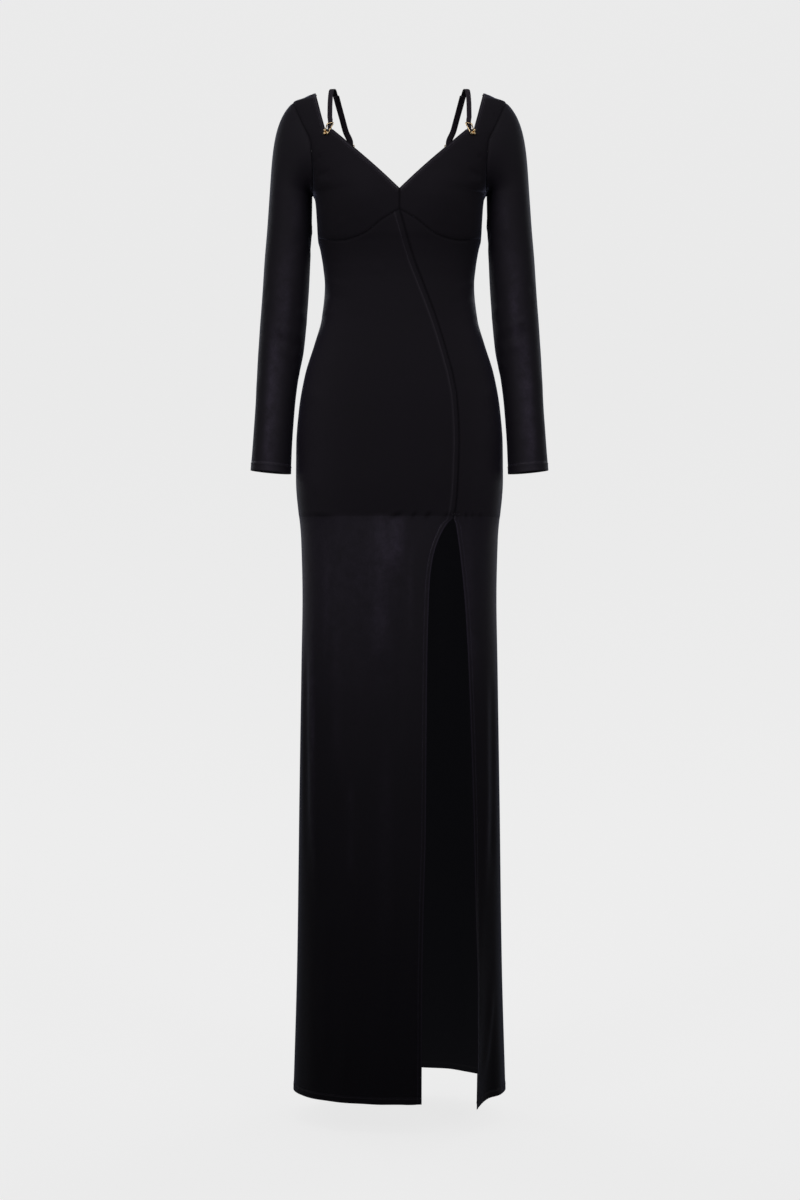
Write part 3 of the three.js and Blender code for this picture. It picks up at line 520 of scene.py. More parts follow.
def jerseyMaterial(knit, name, colour, lined=False):
    # dull and black where it lies doubled, greyer and sleeker where it is single; painted light
    # and shade in the tone attribute lighten or darken its colour, and cloth painted paler is also
    # made sleeker, cloth painted darker duller; painted highlights are added to the colour
    material, tree = startMaterial(name)
    place = objectPlace(tree)
    across, up = mapTurns(tree, jersey["wale"], jersey["course"])
    loops = addNode(tree, "Group", {"Across": across, "Up": up, "Place": place}, node_tree=knit)
    loops = loops.outputs
    base = jersey[colour]
    vary = maths(tree, "SUBTRACT", loops["Tone"], 0.5)
    gloss = maths(tree, "MULTIPLY_ADD", vary, 0.16, jersey["lowerRoughness"])
    if lined:
        level = addNode(tree, "SeparateXYZ", {0: place}).outputs["Z"]
        edge = heights["lining"]
        double = ranged(tree, level, 0, 1, (edge - 1) * metre, (edge + 1) * metre)
        base = blended(tree, base, jersey["colour"], double)
        duller = jersey["roughness"] - jersey["lowerRoughness"]
        gloss = maths(tree, "MULTIPLY_ADD", double, duller, gloss)
    paintedTone, thin = (addNode(tree, "Attribute", attribute_name=label).outputs["Fac"]
                    for label in ("tone", "thin"))
    # painted highlights, patchy with the mottle, added to the painted light and shade
    tone = maths(tree, "MULTIPLY_ADD", thin, loops["Mottle"], paintedTone)
    tone = maths(tree, "MULTIPLY", tone, ranged(tree, loops["Tone"], 0.72, 1.35))
    sleek = maths(tree, "MULTIPLY", maths(tree, "SUBTRACT", paintedTone, 1), jersey["sleekWithTone"])
    gloss = maths(tree, "MAXIMUM", maths(tree, "SUBTRACT", gloss, sleek), jersey["sleekest"])
    values = {
        "Base Color": blended(tree, base, tone, how="MULTIPLY"),
        "Roughness": gloss,
        "Normal": bumped(tree, loops["Height"], 0.35, 0.0004),
        "Specular IOR Level": 0.24,
        "Sheen Weight": jersey["sheen"],
        "Sheen Roughness": 0.25,
        "Sheen Tint": jersey["sheenColour"],
    }
    if colour == "innerColour":
        # painted light: the inner faces glow faintly, standing in for the light of the room that
        # passes through the sheer knit
        values["Sheen Weight"] = jersey["innerSheen"]
        values["Emission Color"] = jersey["innerGlow"]
        values["Emission Strength"] = 1
    finishMaterial(tree, values)
    return material


def tapeMaterial():
    # lengthwise ribs of a woven tape, along the piece's own map
    material, tree = startMaterial("tape")
    ribs, weft = (maths(tree, "SINE", turns)
                  for turns in mapTurns(tree, tape["ribs"], tape["weft"]))
    shade = ranged(tree, noise(tree, objectPlace(tree), 600, 2), 0.6, 1.5)
    height = maths(tree, "MULTIPLY_ADD", weft, 0.35, ribs)
    finishMaterial(tree, {"Base Color": blended(tree, tape["colour"], shade, how="MULTIPLY"),
                          "Normal": bumped(tree, height, 0.6, 0.0003),
                          "Roughness": 0.72, "Specular IOR Level": 0.2})
    return material


def goldMaterial():
    # polished plating with faint wear in its gloss
    material, tree = startMaterial("gold")
    wear = noise(tree, objectPlace(tree), 900, 3)
    finishMaterial(tree, {"Base Color": blended(tree, gold["colour"], gold["worn"], wear),
                          "Roughness": ranged(tree, wear, gold["sleekest"], gold["dullest"]),
                          "Metallic": 1})
    return material


def threadMaterial():
    # twisted sewing thread, a little glossier than the cloth
    material, tree = startMaterial("thread")
    twist = noise(tree, objectPlace(tree), 1500, 1)
    finishMaterial(tree, {"Base Color": blended(tree, thread["dark"], thread["light"], twist),
                          "Roughness": thread["roughness"], "Specular IOR Level": 0.4})
    return material


knit = knitGroup()
jerseyCloth = jerseyMaterial(knit, "jersey", "lowerColour", True)
singleCloth = jerseyMaterial(knit, "singleJersey", "lowerColour")
innerCloth = jerseyMaterial(knit, "innerJersey", "innerColour")
strapTape = tapeMaterial()
goldMetal = goldMaterial()
sewingThread = threadMaterial()
print("finishes made")

# Creases, in millimetres round the form and up it; girth is one radian round it
girth = 140


def frontAt(x, z):
    # where a point of the front at x and z lies round the form
    return float(angleAt(x, z, 1)) * girth


frontCreases = [
    # from x, from z, to x, to z, width, depth, bend
    (-134, -800, -128, -1260, 8, 2.0, -2), (-144, -830, -140, -1240, 8, -1.8, -3),
    (131, -880, 131, -1290, 7, 1.8, 2), (142, -900, 141, -1250, 7, -1.6, 3),
    (-30, -660, -36, -930, 20, 1.8, 3), (-4, -665, -14, -760, 11, 1.4, 0),
    (6, -700, 2, -1050, 12, -1.3, -2), (-70, -690, -78, -1080, 13, -1.2, 4),
    (-95, -780, -88, -1180, 10, 1.2, -3), (-66, -1090, -65, -1330, 5, 1.1, 1),
    (-82, -1380, -80, -1540, 6, 1.3, 1), (22, -1400, 23, -1545, 5, 1.0, 0),
    (-12, -1150, -20, -1500, 11, 1.1, 3), (-108, -1240, -112, -1540, 9, 1.4, -2),
    (142, -1370, 125, -1550, 6, 1.8, 2), (123, -1200, 121, -1500, 4, -0.9, 0),
    (-118, -300, -74, -322, 6, 0.8, 2), (-119, -326, -66, -342, 7, -0.8, 2),
    (-122, -352, -84, -362, 6, 0.7, 1), (120, -306, 80, -326, 6, 0.8, -2),
    (121, -332, 74, -346, 7, -0.8, -2), (124, -360, 88, -368, 6, 0.7, -1),
    (-46, -292, -20, -300, 7, 0.5, 0), (-150, -470, -110, -500, 9, 0.7, 2),
    (150, -466, 118, -498, 9, 0.7, -2), (-152, -600, -120, -640, 9, 0.8, 3),
    (52, -560, 82, -640, 8, 0.7, 2), (40, -620, 70, -668, 7, -0.6, 1),
]
bustCreases = [
    (128, -150, 104, -142, 4, -0.9, 1), (126, -160, 98, -160, 5, 0.7, -1),
    (134, -128, 118, -118, 4, -0.8, 1), (96, -232, 80, -212, 5, 0.6, 1),
    (54, -232, 60, -208, 5, 0.5, -1), (30, -214, 40, -196, 4, 0.5, 1),
    (112, -96, 128, -132, 6, 0.6, 2), (70, -120, 112, -150, 10, 0.5, 4),
]
backCreases = [
    # degrees, z, degrees, z, width, depth, bend
    (-60, -318, -118, -316, 8, 1.6, -5), (-66, -338, -112, -337, 8, -1.5, -5),
    (-56, -358, -121, -354, 9, 1.5, -4), (-30, -300, -52, -322, 7, 0.9, 3),
    (-150, -300, -130, -322, 7, 0.9, -3), (-34, -350, -56, -372, 8, -0.8, 3),
    (-146, -350, -126, -372, 8, -0.8, -3), (-40, -640, -72, -700, 11, 1.4, 5),
    (-140, -640, -108, -700, 11, 1.4, -5), (-48, -700, -80, -742, 10, -1.1, 4),
    (-132, -700, -101, -742, 10, -1.1, -4), (-90, -700, -88, -1000, 12, 1.5, 3),
    (-70, -760, -66, -1120, 10, 1.3, -3), (-112, -780, -116, -1180, 11, 1.4, 3),
    (-40, -800, -38, -1240, 9, 1.6, 2), (-142, -820, -143, -1260, 9, 1.6, -2),
    (-22, -820, -21, -1230, 7, -1.5, 0), (-160, -830, -161, -1250, 7, -1.4, 0),
    (-80, -1230, -78, -1540, 8, 1.3, 2), (-104, -1200, -106, -1530, 9, -1.3, 2),
    (-50, -1260, -47, -1545, 8, -1.4, -2), (-134, -1250, -137, -1545, 8, -1.4, 2),
    (-8, -560, -30, -600, 9, 0.8, 2), (-172, -560, -150, -600, 9, 0.8, -2),
    (-28, -190, -48, -214, 6, 0.9, 2), (-152, -190, -132, -214, 6, 0.9, -2),
    (-34, -150, -62, -176, 7, -0.8, 3), (-146, -150, -118, -176, 7, -0.8, -3),
    (-70, -128, -88, -150, 6, 0.5, 0), (-110, -128, -92, -150, 6, 0.5, 0),
]


# Painted highlights: places on the cloth painted lighter where light falls on it, down its middle
# and along its sides, given like the creases
frontPaintedHighlights = [
    (-3, -650, -5, -775, 16, 1.3, 0), (-27, -630, -32, -915, 18, 1.0, 2),
    (-60, -540, -60, -1000, 110, 0.42, 0), (-100, -740, -96, -1080, 7, 0.35, 0),
    (18, -700, 16, -880, 6, 0.3, 0), (-74, -1060, -73, -1240, 5, 0.45, 0),
    (106, -640, 116, -960, 9, 0.5, 0), (-136, -760, -130, -1300, 4, 1.1, 0),
    (139, -800, 133, -1300, 4, 1.0, 0), (-112, -700, -114, -900, 5, 0.5, 0),
    (-20, -930, -24, -1400, 14, 0.25, 0),
]
backPaintedHighlights = [
    (-90, -640, -91, -900, 24, 0.8, 3), (-60, -620, -58, -980, 12, 0.6, 0),
    (-122, -620, -125, -960, 12, 0.6, 0), (-90, -540, -90, -1060, 120, 0.5, 0),
]
sleevePaintedHighlights = [
    (84, -210, 88, -680, 13, 1.0, 0), (72, -350, 78, -610, 7, 0.9, 1),
    (98, -300, 94, -420, 6, 0.6, 0), (110, -150, 100, -330, 12, 0.4, 0),
    (270, -260, 268, -620, 12, 0.6, 0),
]


def onFront(lines):
    # lines given at x and z on the front, as places round the form
    return [(frontAt(x0, z0), z0, frontAt(x1, z1), z1, *rest)
            for x0, z0, x1, z1, *rest in lines]


def inDegrees(lines, radian=girth):
    # lines given in degrees round a form and z, as places round it
    return [(math.radians(a0) * radian, z0, math.radians(a1) * radian, z1, *rest)
            for a0, z0, a1, z1, *rest in lines]


def liningStep(z):
    # the cloth stands slightly prouder over the short lining, with a soft ridge at its edge
    over = smooth((z - heights["lining"] + 1.5) / 3)
    return 0.4 * over + 0.45 * bell(z - heights["lining"] - 1, 2.2)


def waistSeamHeight(angle):
    # the height where the seam's table and the form agree, found by reading it repeatedly
    z = np.full(np.shape(angle), float(heights["waistSide"]))
    for _ in range(8):
        z = readTable(waistSeam, "x", "z", np.abs(formPoint(angle, z)[..., 0]))
    return z


def hungCloth(angle, z, fromSeam, fromHem, along, creases, lights):
    # relief, painted light and shade, and painted highlights of the cloth from the waist down, but
    # for its seams
    relief = creaseRelief(angle * girth, z, creases) * smooth(fromSeam / cloth["creaseFade"])
    relief += cloth["rise"] + liningStep(z) + hemRelief(fromHem, along, cloth["hem"])
    tone = paintedLiningShadow(z) + paintedHipRim(angle, z) + paintedHemHighlight(fromHem, cloth["hem"], 0.2)
    return relief, tone, singleShare(z) * creaseRelief(angle * girth, z, lights)


def lowerFront(isMain):
    # rows run from the side seam to the slit and the slanting seam, from the hem to the waist
    rows = edgeSpaced(cloth["rowsBelow"])[:, None]
    columns = edgeSpaced(cloth["columnsMain" if isMain else "columnsSide"])[None, :]
    topAngle = columns * math.pi / 2
    topAngle = math.pi - topAngle if isMain else topAngle
    edgeZ = mix(heights["hem"], heights["waistCentre"], rows)
    edge = "main" if isMain else "side"
    edgeX = np.where(edgeZ >= heights["slitTop"], readTable(slant, "z", "x", edgeZ),
                     readTable(slit, "z", edge, edgeZ))
    angle = mix(math.pi if isMain else 0.0, angleAt(edgeX, edgeZ, 1), columns)
    z = mix(heights["hem"], waistSeamHeight(topAngle), rows)
    surface = formPoint if isMain else sidePanelPoint
    points, normals = withNormals(surface, angle, z)
    fromSeam, fromEdge = edgeDistance(points, "start"), edgeDistance(points, "end")
    fromHem, fromTop = edgeDistance(points, "low"), edgeDistance(points, "high")
    sewn = smooth((edgeZ - heights["slitTop"] + 4) / 8)
    relief, tone, thin = hungCloth(angle, z, fromSeam, fromHem, fromSeam,
                                   onFront(frontCreases), onFront(frontPaintedHighlights))
    relief += (1 - sewn) * hemRelief(fromEdge, z, cloth["slitHem"])
    if isMain:
        welt = smooth(fromEdge / 1.5) * (1 - smooth((fromEdge - cloth["slantWelt"]) / 2.5))
        relief += sewn * 0.5 * welt
    relief *= offSeams(fromSeam, fromTop) * (1 - sewn * bell(fromEdge, 1.7))
    # painted highlights along the slit's rolled edge and stitching, and along the welt beside the
    # slanting seam
    tone += (1 - sewn) * (paintedHemHighlight(fromEdge, cloth["slitHem"], 1.9)
                          + 0.7 * bell(fromEdge - cloth["slitHem"], 1))
    if isMain:
        tone += 0.6 * sewn * bell(fromEdge - cloth["slantWelt"], 1.3)
    # painted shade beside the seams and in the slanting seam
    tone *= seamShade(fromSeam, fromTop) * (1 - 0.42 * sewn * bell(fromEdge, 1.6))
    return points + relief[..., None] * normals, normals, tone, thin


def upperHalf(side, columnCount):
    # rows run from the side seam and the armhole to the neck edge, up to the shoulder
    neck = frontNeck if side > 0 else backNeck
    row = np.linspace(0, neckRows, neckRows * cloth["rowsPerStep"] + 1)
    columns = edgeSpaced(columnCount)[None, :]
    roundTurn = np.clip((row - sideRows) / armSteps, 0, 1) * math.pi
    straight = mix(heights["waistSide"], heights["armpit"], np.clip(row / sideRows, 0, 1))
    sideZ = np.where(row < sideRows, straight, armMiddle - armReach * np.cos(roundTurn))
    sideAngle = angleAt(readTable(armhole, "z", "x", sideZ), sideZ, side)
    sideAngle = np.where(row <= sideRows, 0, sideAngle)
    neckZ = np.interp(row, neck["row"], neck["z"])
    neckAngle = angleAt(np.interp(row, neck["row"], neck["x"]), neckZ, side)
    angle = mix(sideAngle[:, None], neckAngle[:, None], columns)
    low = waistSeamHeight(columns * math.pi / 2) if side > 0 else \
        np.full(columns.shape, float(heights["waistSide"]))
    sag = low - mix(low[:, :1], low[:, -1:], columns)
    z = mix(sideZ[:, None], neckZ[:, None], columns) + sag * (1 - row[:, None] / neckRows)
    return row, angle, z


def bustPiece(side):
    # the upper front of one side: seams below, at the side, armhole and shoulder, a short one
    # at the centre, and a stitched edge along the neckline
    row, angle, z = upperHalf(1, cloth["columnsBust"])
    points, normals = withNormals(formPoint, angle, z)
    free = smooth((row[:, None] - 1.7) / 0.4)
    fromNeck = edgeDistance(points, "end")
    relief = cloth["rise"] + creaseRelief(angle * girth, z, onFront(bustCreases))
    relief += free * hemRelief(fromNeck, 12 * row[:, None], cloth["neckHem"], 0.12)
    sewn = [edgeDistance(points, edge) for edge in ("start", "low", "high")]
    relief *= offSeams(*sewn) * (1 - (1 - free) * bell(fromNeck, 1.8))
    # painted highlight along the neckline's rolled edge and stitching; painted shade beside the
    # seams and in the short seam at the centre
    tone = (1 + free * paintedNeckHighlight(fromNeck)) * seamShade(*sewn)
    tone = tone * (1 - 0.42 * (1 - free) * bell(fromNeck, 1.5))
    return mirrored(side, points + relief[..., None] * normals, normals, tone, 0)


def backPiece():
    # one half from the hem to the shoulder; the other half mirrors its edges but has its own
    # creases
    halves = []
    upperRow, upperAngle, upperZ = upperHalf(-1, cloth["columnsBack"])
    rows = edgeSpaced(cloth["rowsBelow"] - 60)[:-1, None]
    columns = edgeSpaced(cloth["columnsBack"])[None, :]
    lowerZ = mix(heights["hem"], heights["waistSide"], rows) + 0 * columns
    lowerAngle = -columns * math.pi / 2 + 0 * rows
    z = np.concatenate([lowerZ, upperZ])
    angle = np.concatenate([lowerAngle, upperAngle])
    row = np.concatenate([np.full(len(rows), -1.0), upperRow])[:, None]
    free = smooth((row - backNeck["row"][1]) / 0.3)
    for around in (angle, -math.pi - angle):
        points, normals = withNormals(formPoint, around, z)
        fromNeck, fromSide = edgeDistance(points, "end"), edgeDistance(points, "start")
        fromHem, fromTop = edgeDistance(points, "low"), edgeDistance(points, "high")
        relief, tone, thin = hungCloth(around, z, fromSide, fromHem, around * 160,
                                       inDegrees(backCreases), inDegrees(backPaintedHighlights))
        relief += free * hemRelief(fromNeck, 12 * row, cloth["neckHem"], 0.12)
        relief *= offSeams(fromSide, fromTop)
        # painted highlight along the neckline; painted shade beside the seams
        tone = (tone + free * paintedNeckHighlight(fromNeck)) * seamShade(fromSide, fromTop)
        halves.append((points + relief[..., None] * normals, normals, tone, thin))
    return halves, len(rows) + backNeck["row"][1] * cloth["rowsPerStep"]


# Sleeves: rings below the armpit, with the cap above them
arm = {
    "z": [-605, -550.8, -503.7, -456.6, -409.5, -362, -315, -268, -221, -168],
    "x": [201, 198.2, 195.1, 191.6, 186.1, 182.2, 178.7, 176, 172.9, 170.5],
    "y": [-20, -12, -5, 2, 7, 8, 7, 6, 4, 2],
    "halfX": [30.6, 29.9, 30, 31.7, 35, 35.7, 35.6, 35.2, 34.2, 32.8],
    "halfY": [33, 33, 33.5, 35, 37.5, 39, 40, 41, 42, 43],
}
cap = {"outwards": 0.12, "outwardsTop": 0.62, "forwards": 0.28, "upTop": 0.33, "ease": 0.12,
       "leavePull": 0.6, "leavePullTop": 0.25, "arriveLean": 0.07, "arrivePull": 0.9,
       "arrivePullTop": 0.35, "rows": 34, "cuff": -602.5, "cuffTilt": 2.8,
       "armpitOut": 0.15}
armGirth = 36
sleeveCreases = [
    # degrees round from the outer side over the front, z, degrees, z, width, depth, bend
    (60, -368, 150, -384, 5, 1.5, 3), (50, -386, 160, -402, 5, -1.4, 3),
    (70, -404, 150, -420, 6, 1.1, 2), (200, -372, 300, -380, 6, 1.3, -3),
    (210, -392, 310, -400, 5, -1.2, -3), (120, -344, 190, -366, 6, 0.9, 2),
    (130, -430, 190, -448, 6, 0.8, 1), (40, -300, 60, -362, 8, -0.8, 4),
    (95, -250, 100, -470, 10, 0.9, -3), (250, -230, 262, -350, 9, 0.9, 3),
    (150, -205, 205, -224, 6, 1.2, 2), (148, -226, 200, -252, 6, -1.0, 2),
    (90, -215, 150, -262, 8, 0.8, 3), (100, -520, 170, -534, 6, 0.6, 1),
    (60, -552, 120, -560, 6, 0.6, -1), (230, -500, 290, -512, 7, 0.7, 1),
    (20, -440, 30, -560, 9, 0.6, 2), (280, -420, 290, -560, 9, 0.7, -2),
]


def armPoint(turn, z):
    # a ring round the arm from its outer side over the front
    return np.stack(np.broadcast_arrays(
        readTable(arm, "z", "x", z) + readTable(arm, "z", "halfX", z) * np.cos(turn),
        readTable(arm, "z", "y", z) - readTable(arm, "z", "halfY", z) * np.sin(turn), z), axis=-1)


def armholeRing(turn):
    # angle and height of the armhole seam on the form, from the shoulder over the front to the
    # armpit and back up
    z = armMiddle + armReach * np.cos(turn)
    x = readTable(armhole, "z", "x", z)
    angle = np.where(np.sin(turn) >= 0, angleAt(x, z, 1), angleAt(x, z, -1))
    return np.where(np.abs(np.sin(turn)) < 1e-6, 0, angle), z


def capPoint(turn, t):
    # a smooth path from each point of the armhole to the upper arm
    start = formPoint(*armholeRing(turn))
    start[..., 0] += cap["armpitOut"] * (1 - np.cos(turn))
    end = armPoint(turn, np.full(turn.shape, float(arm["z"][-1])))
    length = np.linalg.norm(end - start, axis=-1, keepdims=True)
    top = (1 + np.cos(turn)) / 2
    leave = unit(np.stack([cap["outwards"] + cap["outwardsTop"] * top,
                           -cap["forwards"] * np.sin(turn), -1 + cap["upTop"] * top], axis=-1))
    top = top[..., None]
    start = start + cap["ease"] * leave
    leave = leave * length * (cap["leavePull"] + cap["leavePullTop"] * top)
    arrive = unit(np.array([cap["arriveLean"], 0, -1.0])) * length \
        * (cap["arrivePull"] + cap["arrivePullTop"] * top)
    return hermite(t[..., None], start, end, leave, arrive)


def sleevePiece(side):
    # the cap's paths, then rings down to the cuff, with soft creases at the elbow and armpit
    turn = fullTurn(cloth["sleeveRound"])[None, :]
    t = edgeSpaced(cap["rows"], 0.5)[:, None]
    upper = capPoint(turn + 0 * t, t + 0 * turn)
    down = edgeSpaced(cloth["sleeveRows"], 0.6)[1:, None]
    z = mix(arm["z"][-1], cap["cuff"], down) + 0 * turn
    lower = armPoint(turn + 0 * z, z)
    lower[..., 2] += cap["cuffTilt"] * smooth((down - 0.85) / 0.15) * np.cos(turn)
    points = np.concatenate([upper, lower])
    around = np.roll(points, -1, axis=1) - np.roll(points, 1, axis=1)
    normals = unit(np.cross(around, np.gradient(points, axis=0)))
    fromArmhole, fromCuff = edgeDistance(points, "low"), edgeDistance(points, "high")
    turns = turn * armGirth + 0 * points[..., 2]
    relief = creaseRelief(turns, points[..., 2] - side * 4, inDegrees(sleeveCreases, armGirth))
    relief = relief * smooth(fromArmhole / 12) + cloth["rise"]
    relief += hemRelief(fromCuff, turns, cloth["cuffHem"], 0.15)
    underarm = bell(turns - math.pi * armGirth, 1.4) * smooth(fromArmhole / 6)
    relief *= offSeams(fromArmhole) * (1 - 0.8 * underarm)
    # painted highlights down the sleeve, where the light falls
    thin = creaseRelief(turns, points[..., 2], inDegrees(sleevePaintedHighlights, armGirth))
    # painted highlight along the cuff's stitching and a paler painted band at its rolled edge;
    # painted shade beside the armhole seam and under the arm
    tone = 0.84 + 0.8 * bell(fromCuff - cloth["cuffHem"], 1.2) + 0.2 * bell(fromCuff, 9)
    tone *= seamShade(fromArmhole) * (1 - 0.5 * underarm)
    return mirrored(side, points + relief[..., None] * normals, normals, tone, thin)


stitch = {"length": 2.6, "gap": 0.7, "radius": 0.26, "lift": 0.1, "rings": 4, "sides": 4}


def stitchRun(line, normals):
    # small arched capsules laid end to end along a line, each dipping into the cloth
    run = runAlong(line)
    pitch = stitch["length"] + stitch["gap"]
    count = max(int(run[-1] / pitch), 1)
    at = (np.arange(count) + 0.5) * run[-1] / count

    def pick(values, where):
        # values between those of the line at these lengths along it
        return np.stack([np.interp(where, run, column) for column in values.T], axis=1)

    middle, out = pick(line, at), unit(pick(normals, at))
    along = unit(pick(line, at + 0.4) - pick(line, at - 0.4))
    side = unit(np.cross(out, along))
    t = np.linspace(-1, 1, stitch["rings"])[:, None]
    turn = fullTurn(stitch["sides"])[None, :]
    thick = stitch["radius"] * (1 - 0.45 * t**2)
    up = stitch["lift"] + stitch["radius"] * (1 - 2.6 * t**4) + thick * np.sin(turn)
    over = thick * np.cos(turn)
    ahead = stitch["length"] / 2 * t + 0 * turn
    local = np.stack([ahead, over, up], axis=-1).reshape(-1, 3)
    axes = np.stack([along, side, out], axis=1)
    vertices = middle[:, None, :] + np.einsum("kc,ncd->nkd", local, axes)
    body = gridFaces(stitch["rings"], stitch["sides"], True, True)
    last = stitch["sides"] * (stitch["rings"] - 1)
    caps = [[0, 1, 2, 3], [last + 3, last + 2, last + 1, last]]
    faces = np.concatenate([body, caps])
    faces = (faces[None] + len(local) * np.arange(count)[:, None, None]).reshape(-1, 4)
    return vertices.reshape(-1, 3), faces


def stitchPiece(name, lines):
    # several rows of stitches as one piece of thread
    piece = meshObject(name, *joined([stitchRun(*line) for line in lines]), sewingThread)
    return piece


def trimmed(line, start, end):
    # the part of a line of points and normals between two shares of its length
    count = len(line[0])
    return [values[int(count * start):int(count * end)] for values in line]


def hemRows(points, normals, end):
    # two rows of stitches along the bottom hem
    return [trimmed(lineInside(points, normals, "low", cloth["hem"] + shift), 0.01, end)
            for shift in (-1, 1.6)]


# Turnings: narrow bands of cloth just inside the seams, which keep the light out of them
# the tone darkens the turnings' colour: painted shade inside the seams
turnings = {"reach": 3.2, "depth": 1.3, "tone": 0.6, "armholeFrom": 0.98, "armholeTo": 1.05}
acrossTurning = np.linspace(-1, 1, 5)[None, :] * turnings["reach"]


def turningBand(angle, z):
    # a grid on the form moved inwards
    points, normals = withNormals(formPoint, angle, z)
    return points - turnings["depth"] * normals, normals, turnings["tone"], 0


def sideTurnings():
    # along both side seams and both shoulders
    bands = []
    for low, high, rows in ((heights["hem"] + 1, heights["armpit"], 260),
                            (heights["shoulder"], form["z"][-1], 24)):
        z = np.linspace(low, high, rows)[:, None]
        angle = acrossTurning / readTable(form, "z", "half", z)
        bands += [turningBand(angle, z), turningBand(math.pi - angle, z)]
    return bands


def frontTurnings():
    # along the seam under the bust, the slanting one and the short one at the centre
    angle = np.linspace(0.03, math.pi - 0.03, 260)[:, None]
    under = turningBand(angle, waistSeamHeight(angle) + acrossTurning)
    z = np.linspace(heights["slitTop"] + 3, heights["waistCentre"], 200)[:, None]
    leaning = turningBand(angleAt(readTable(slant, "z", "x", z) + acrossTurning, z, 1), z)
    z = np.linspace(heights["waistCentre"], frontNeck["z"][1] - 1, 20)[:, None]
    return [under, leaning, turningBand(angleAt(0 * z + acrossTurning, z, 1), z)]


def armholeTurnings(side):
    # round one armhole, from its edge outwards over the body
    angle, z = armholeRing(np.linspace(0, 2 * math.pi, 121)[:, None])
    grow = np.linspace(turnings["armholeFrom"], turnings["armholeTo"], 5)[None, :]
    return mirrored(side, *turningBand(angle * grow, mix(armMiddle, z, grow)))


def buildFronts():
    # front of the skirt: the wide panel and the narrow one beside the slit
    for label, node, isMain, area in (("frontMainCloth", "front_main", True, 0.336),
                                      ("frontSideCloth", "front_side", False, 0.146)):
        sheet = lowerFront(isMain)
        points, normals = sheet[:2]
        piece = shellPiece(label, [sheet], jerseyCloth)
        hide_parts(node)
        edgeZ = points[:, -1, 2]
        slitEnd = int(np.argmax(edgeZ > heights["slitTop"] + 2))
        lines = hemRows(points, normals, 0.99)
        lines.append(lineInside(points, normals, "end", cloth["slitHem"], 2, slitEnd))
        if isMain:
            lines.append(lineInside(points, normals, "end", cloth["slantWelt"], slitEnd + 4, -6))
        extras = [stitchPiece(label.replace("Cloth", "Stitches"), lines)]
        if isMain:
            extras.append(shellPiece("frontTurnings", frontTurnings(), innerCloth))


def buildBack():
    # both halves as one piece, joined down the middle
    halves, neckStart = backPiece()
    piece = shellPiece("backCloth", halves, jerseyCloth, weld=True)
    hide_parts("back")
    lines = []
    for points, normals, *shades in halves:
        lines += hemRows(points, normals, 1)
        lines.append(lineInside(points, normals, "end", cloth["neckHem"], neckStart + 3, -2))
    extras = [stitchPiece("backStitches", lines),
              shellPiece("sideTurnings", sideTurnings(), innerCloth)]


def buildBust():
    # the two upper fronts, with two rows of stitches along the neckline
    for label, side in (("left", 1), ("right", -1)):
        sheet = bustPiece(side)
        points, normals = sheet[:2]
        piece = shellPiece(f"{label}BustCloth", [sheet], jerseyCloth)
        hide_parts(f"bust_{label}")
        free = 2 * cloth["rowsPerStep"] + 2
        sewing = stitchPiece(f"{label}NeckStitches", [
            lineInside(points, normals, "end", cloth["neckHem"], free, -2),
            lineInside(points, normals, "end", cloth["neckHem"] - 2.2, free, -2)])
        around = shellPiece(f"{label}ArmholeTurnings", [armholeTurnings(side)], innerCloth)


def buildSleeves():
    # the two sleeves, with two rows of stitches round the cuff
    for label, side in (("left", 1), ("right", -1)):
        sheet = sleevePiece(side)
        points, normals = sheet[:2]
        piece = shellPiece(f"{label}SleeveCloth", [sheet], singleCloth, True)
        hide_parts(f"sleeve_{label}")
        lines = []
        for inset in (cloth["cuffHem"], cloth["cuffHem"] - 2.4):
            line, out = lineInside(points, normals, "high", inset)
            lines.append((np.concatenate([line, line[:1]]), np.concatenate([out, out[:1]])))
        sewing = stitchPiece(f"{label}CuffStitches", lines)


buildFronts()
buildBack()
buildBust()
buildSleeves()
print("cloth shells made")


# Straps and rings
eyes = {"front": (111.5, -83.5, 1, 0), "back": (75, -86.5, -1, 16)}  # x, z, face, lean
wire = {"radius": 0.85, "sides": 14, "ball": 2.45, "gap": 0.3, "stud": 1.7, "dome": 0.55,
        "innerStud": 1.9, "innerDome": 0.35, "studLength": 4.0, "pointsPerCorner": 12}
strap = {"thickness": 1.2, "barTop": 15, "lead": 4, "returnShift": 1.9, "returnEnd": 5,
         "ribHeight": 0.12, "ribs": 4, "halfMap": 3.8, "steps": 260}
strapRows = [
    # x, y, z, width, lean of the edge line in degrees
    (107.4, -64.5, -56, 7.6, 0), (107.4, -56, -38, 7.6, 0), (106.9, -42, -19.5, 7.6, 0),
    (105.6, -23, -6.5, 7.9, 0), (103.6, 0, -1.4, 8.2, 4), (101.4, 24, -5, 8.2, 8),
    (97.4, 47, -17.5, 7.9, 12), (92.6, 64, -33, 7.6, 16), (87.2, 77, -51, 7.6, 16),
]
strapTail = [
    # across, up, depth, width in the axes of the front ring
    (5.4, -9, -4.6, 4.2), (5.1, -1, -4.5, 3.6), (3.7, 5.2, -4.3, 5.0), (2.7, 8.2, -3.1, 6.8),
    (3.1, 14.4, -1.8, 8.0), (3.2, 18.5, -1.65, 7.9),
]
frontRing = [(2.9, -1.6), (4.5, 3.4), (7.0, 9.4), (9.1, 14.6), (8.4, 15.5), (3.8, 15.0),
             (-0.4, 14.4), (-0.9, 13.4), (-1.7, 8.4), (-2.4, 3.0), (-2.2, -1.4), (0.4, -3.0)]
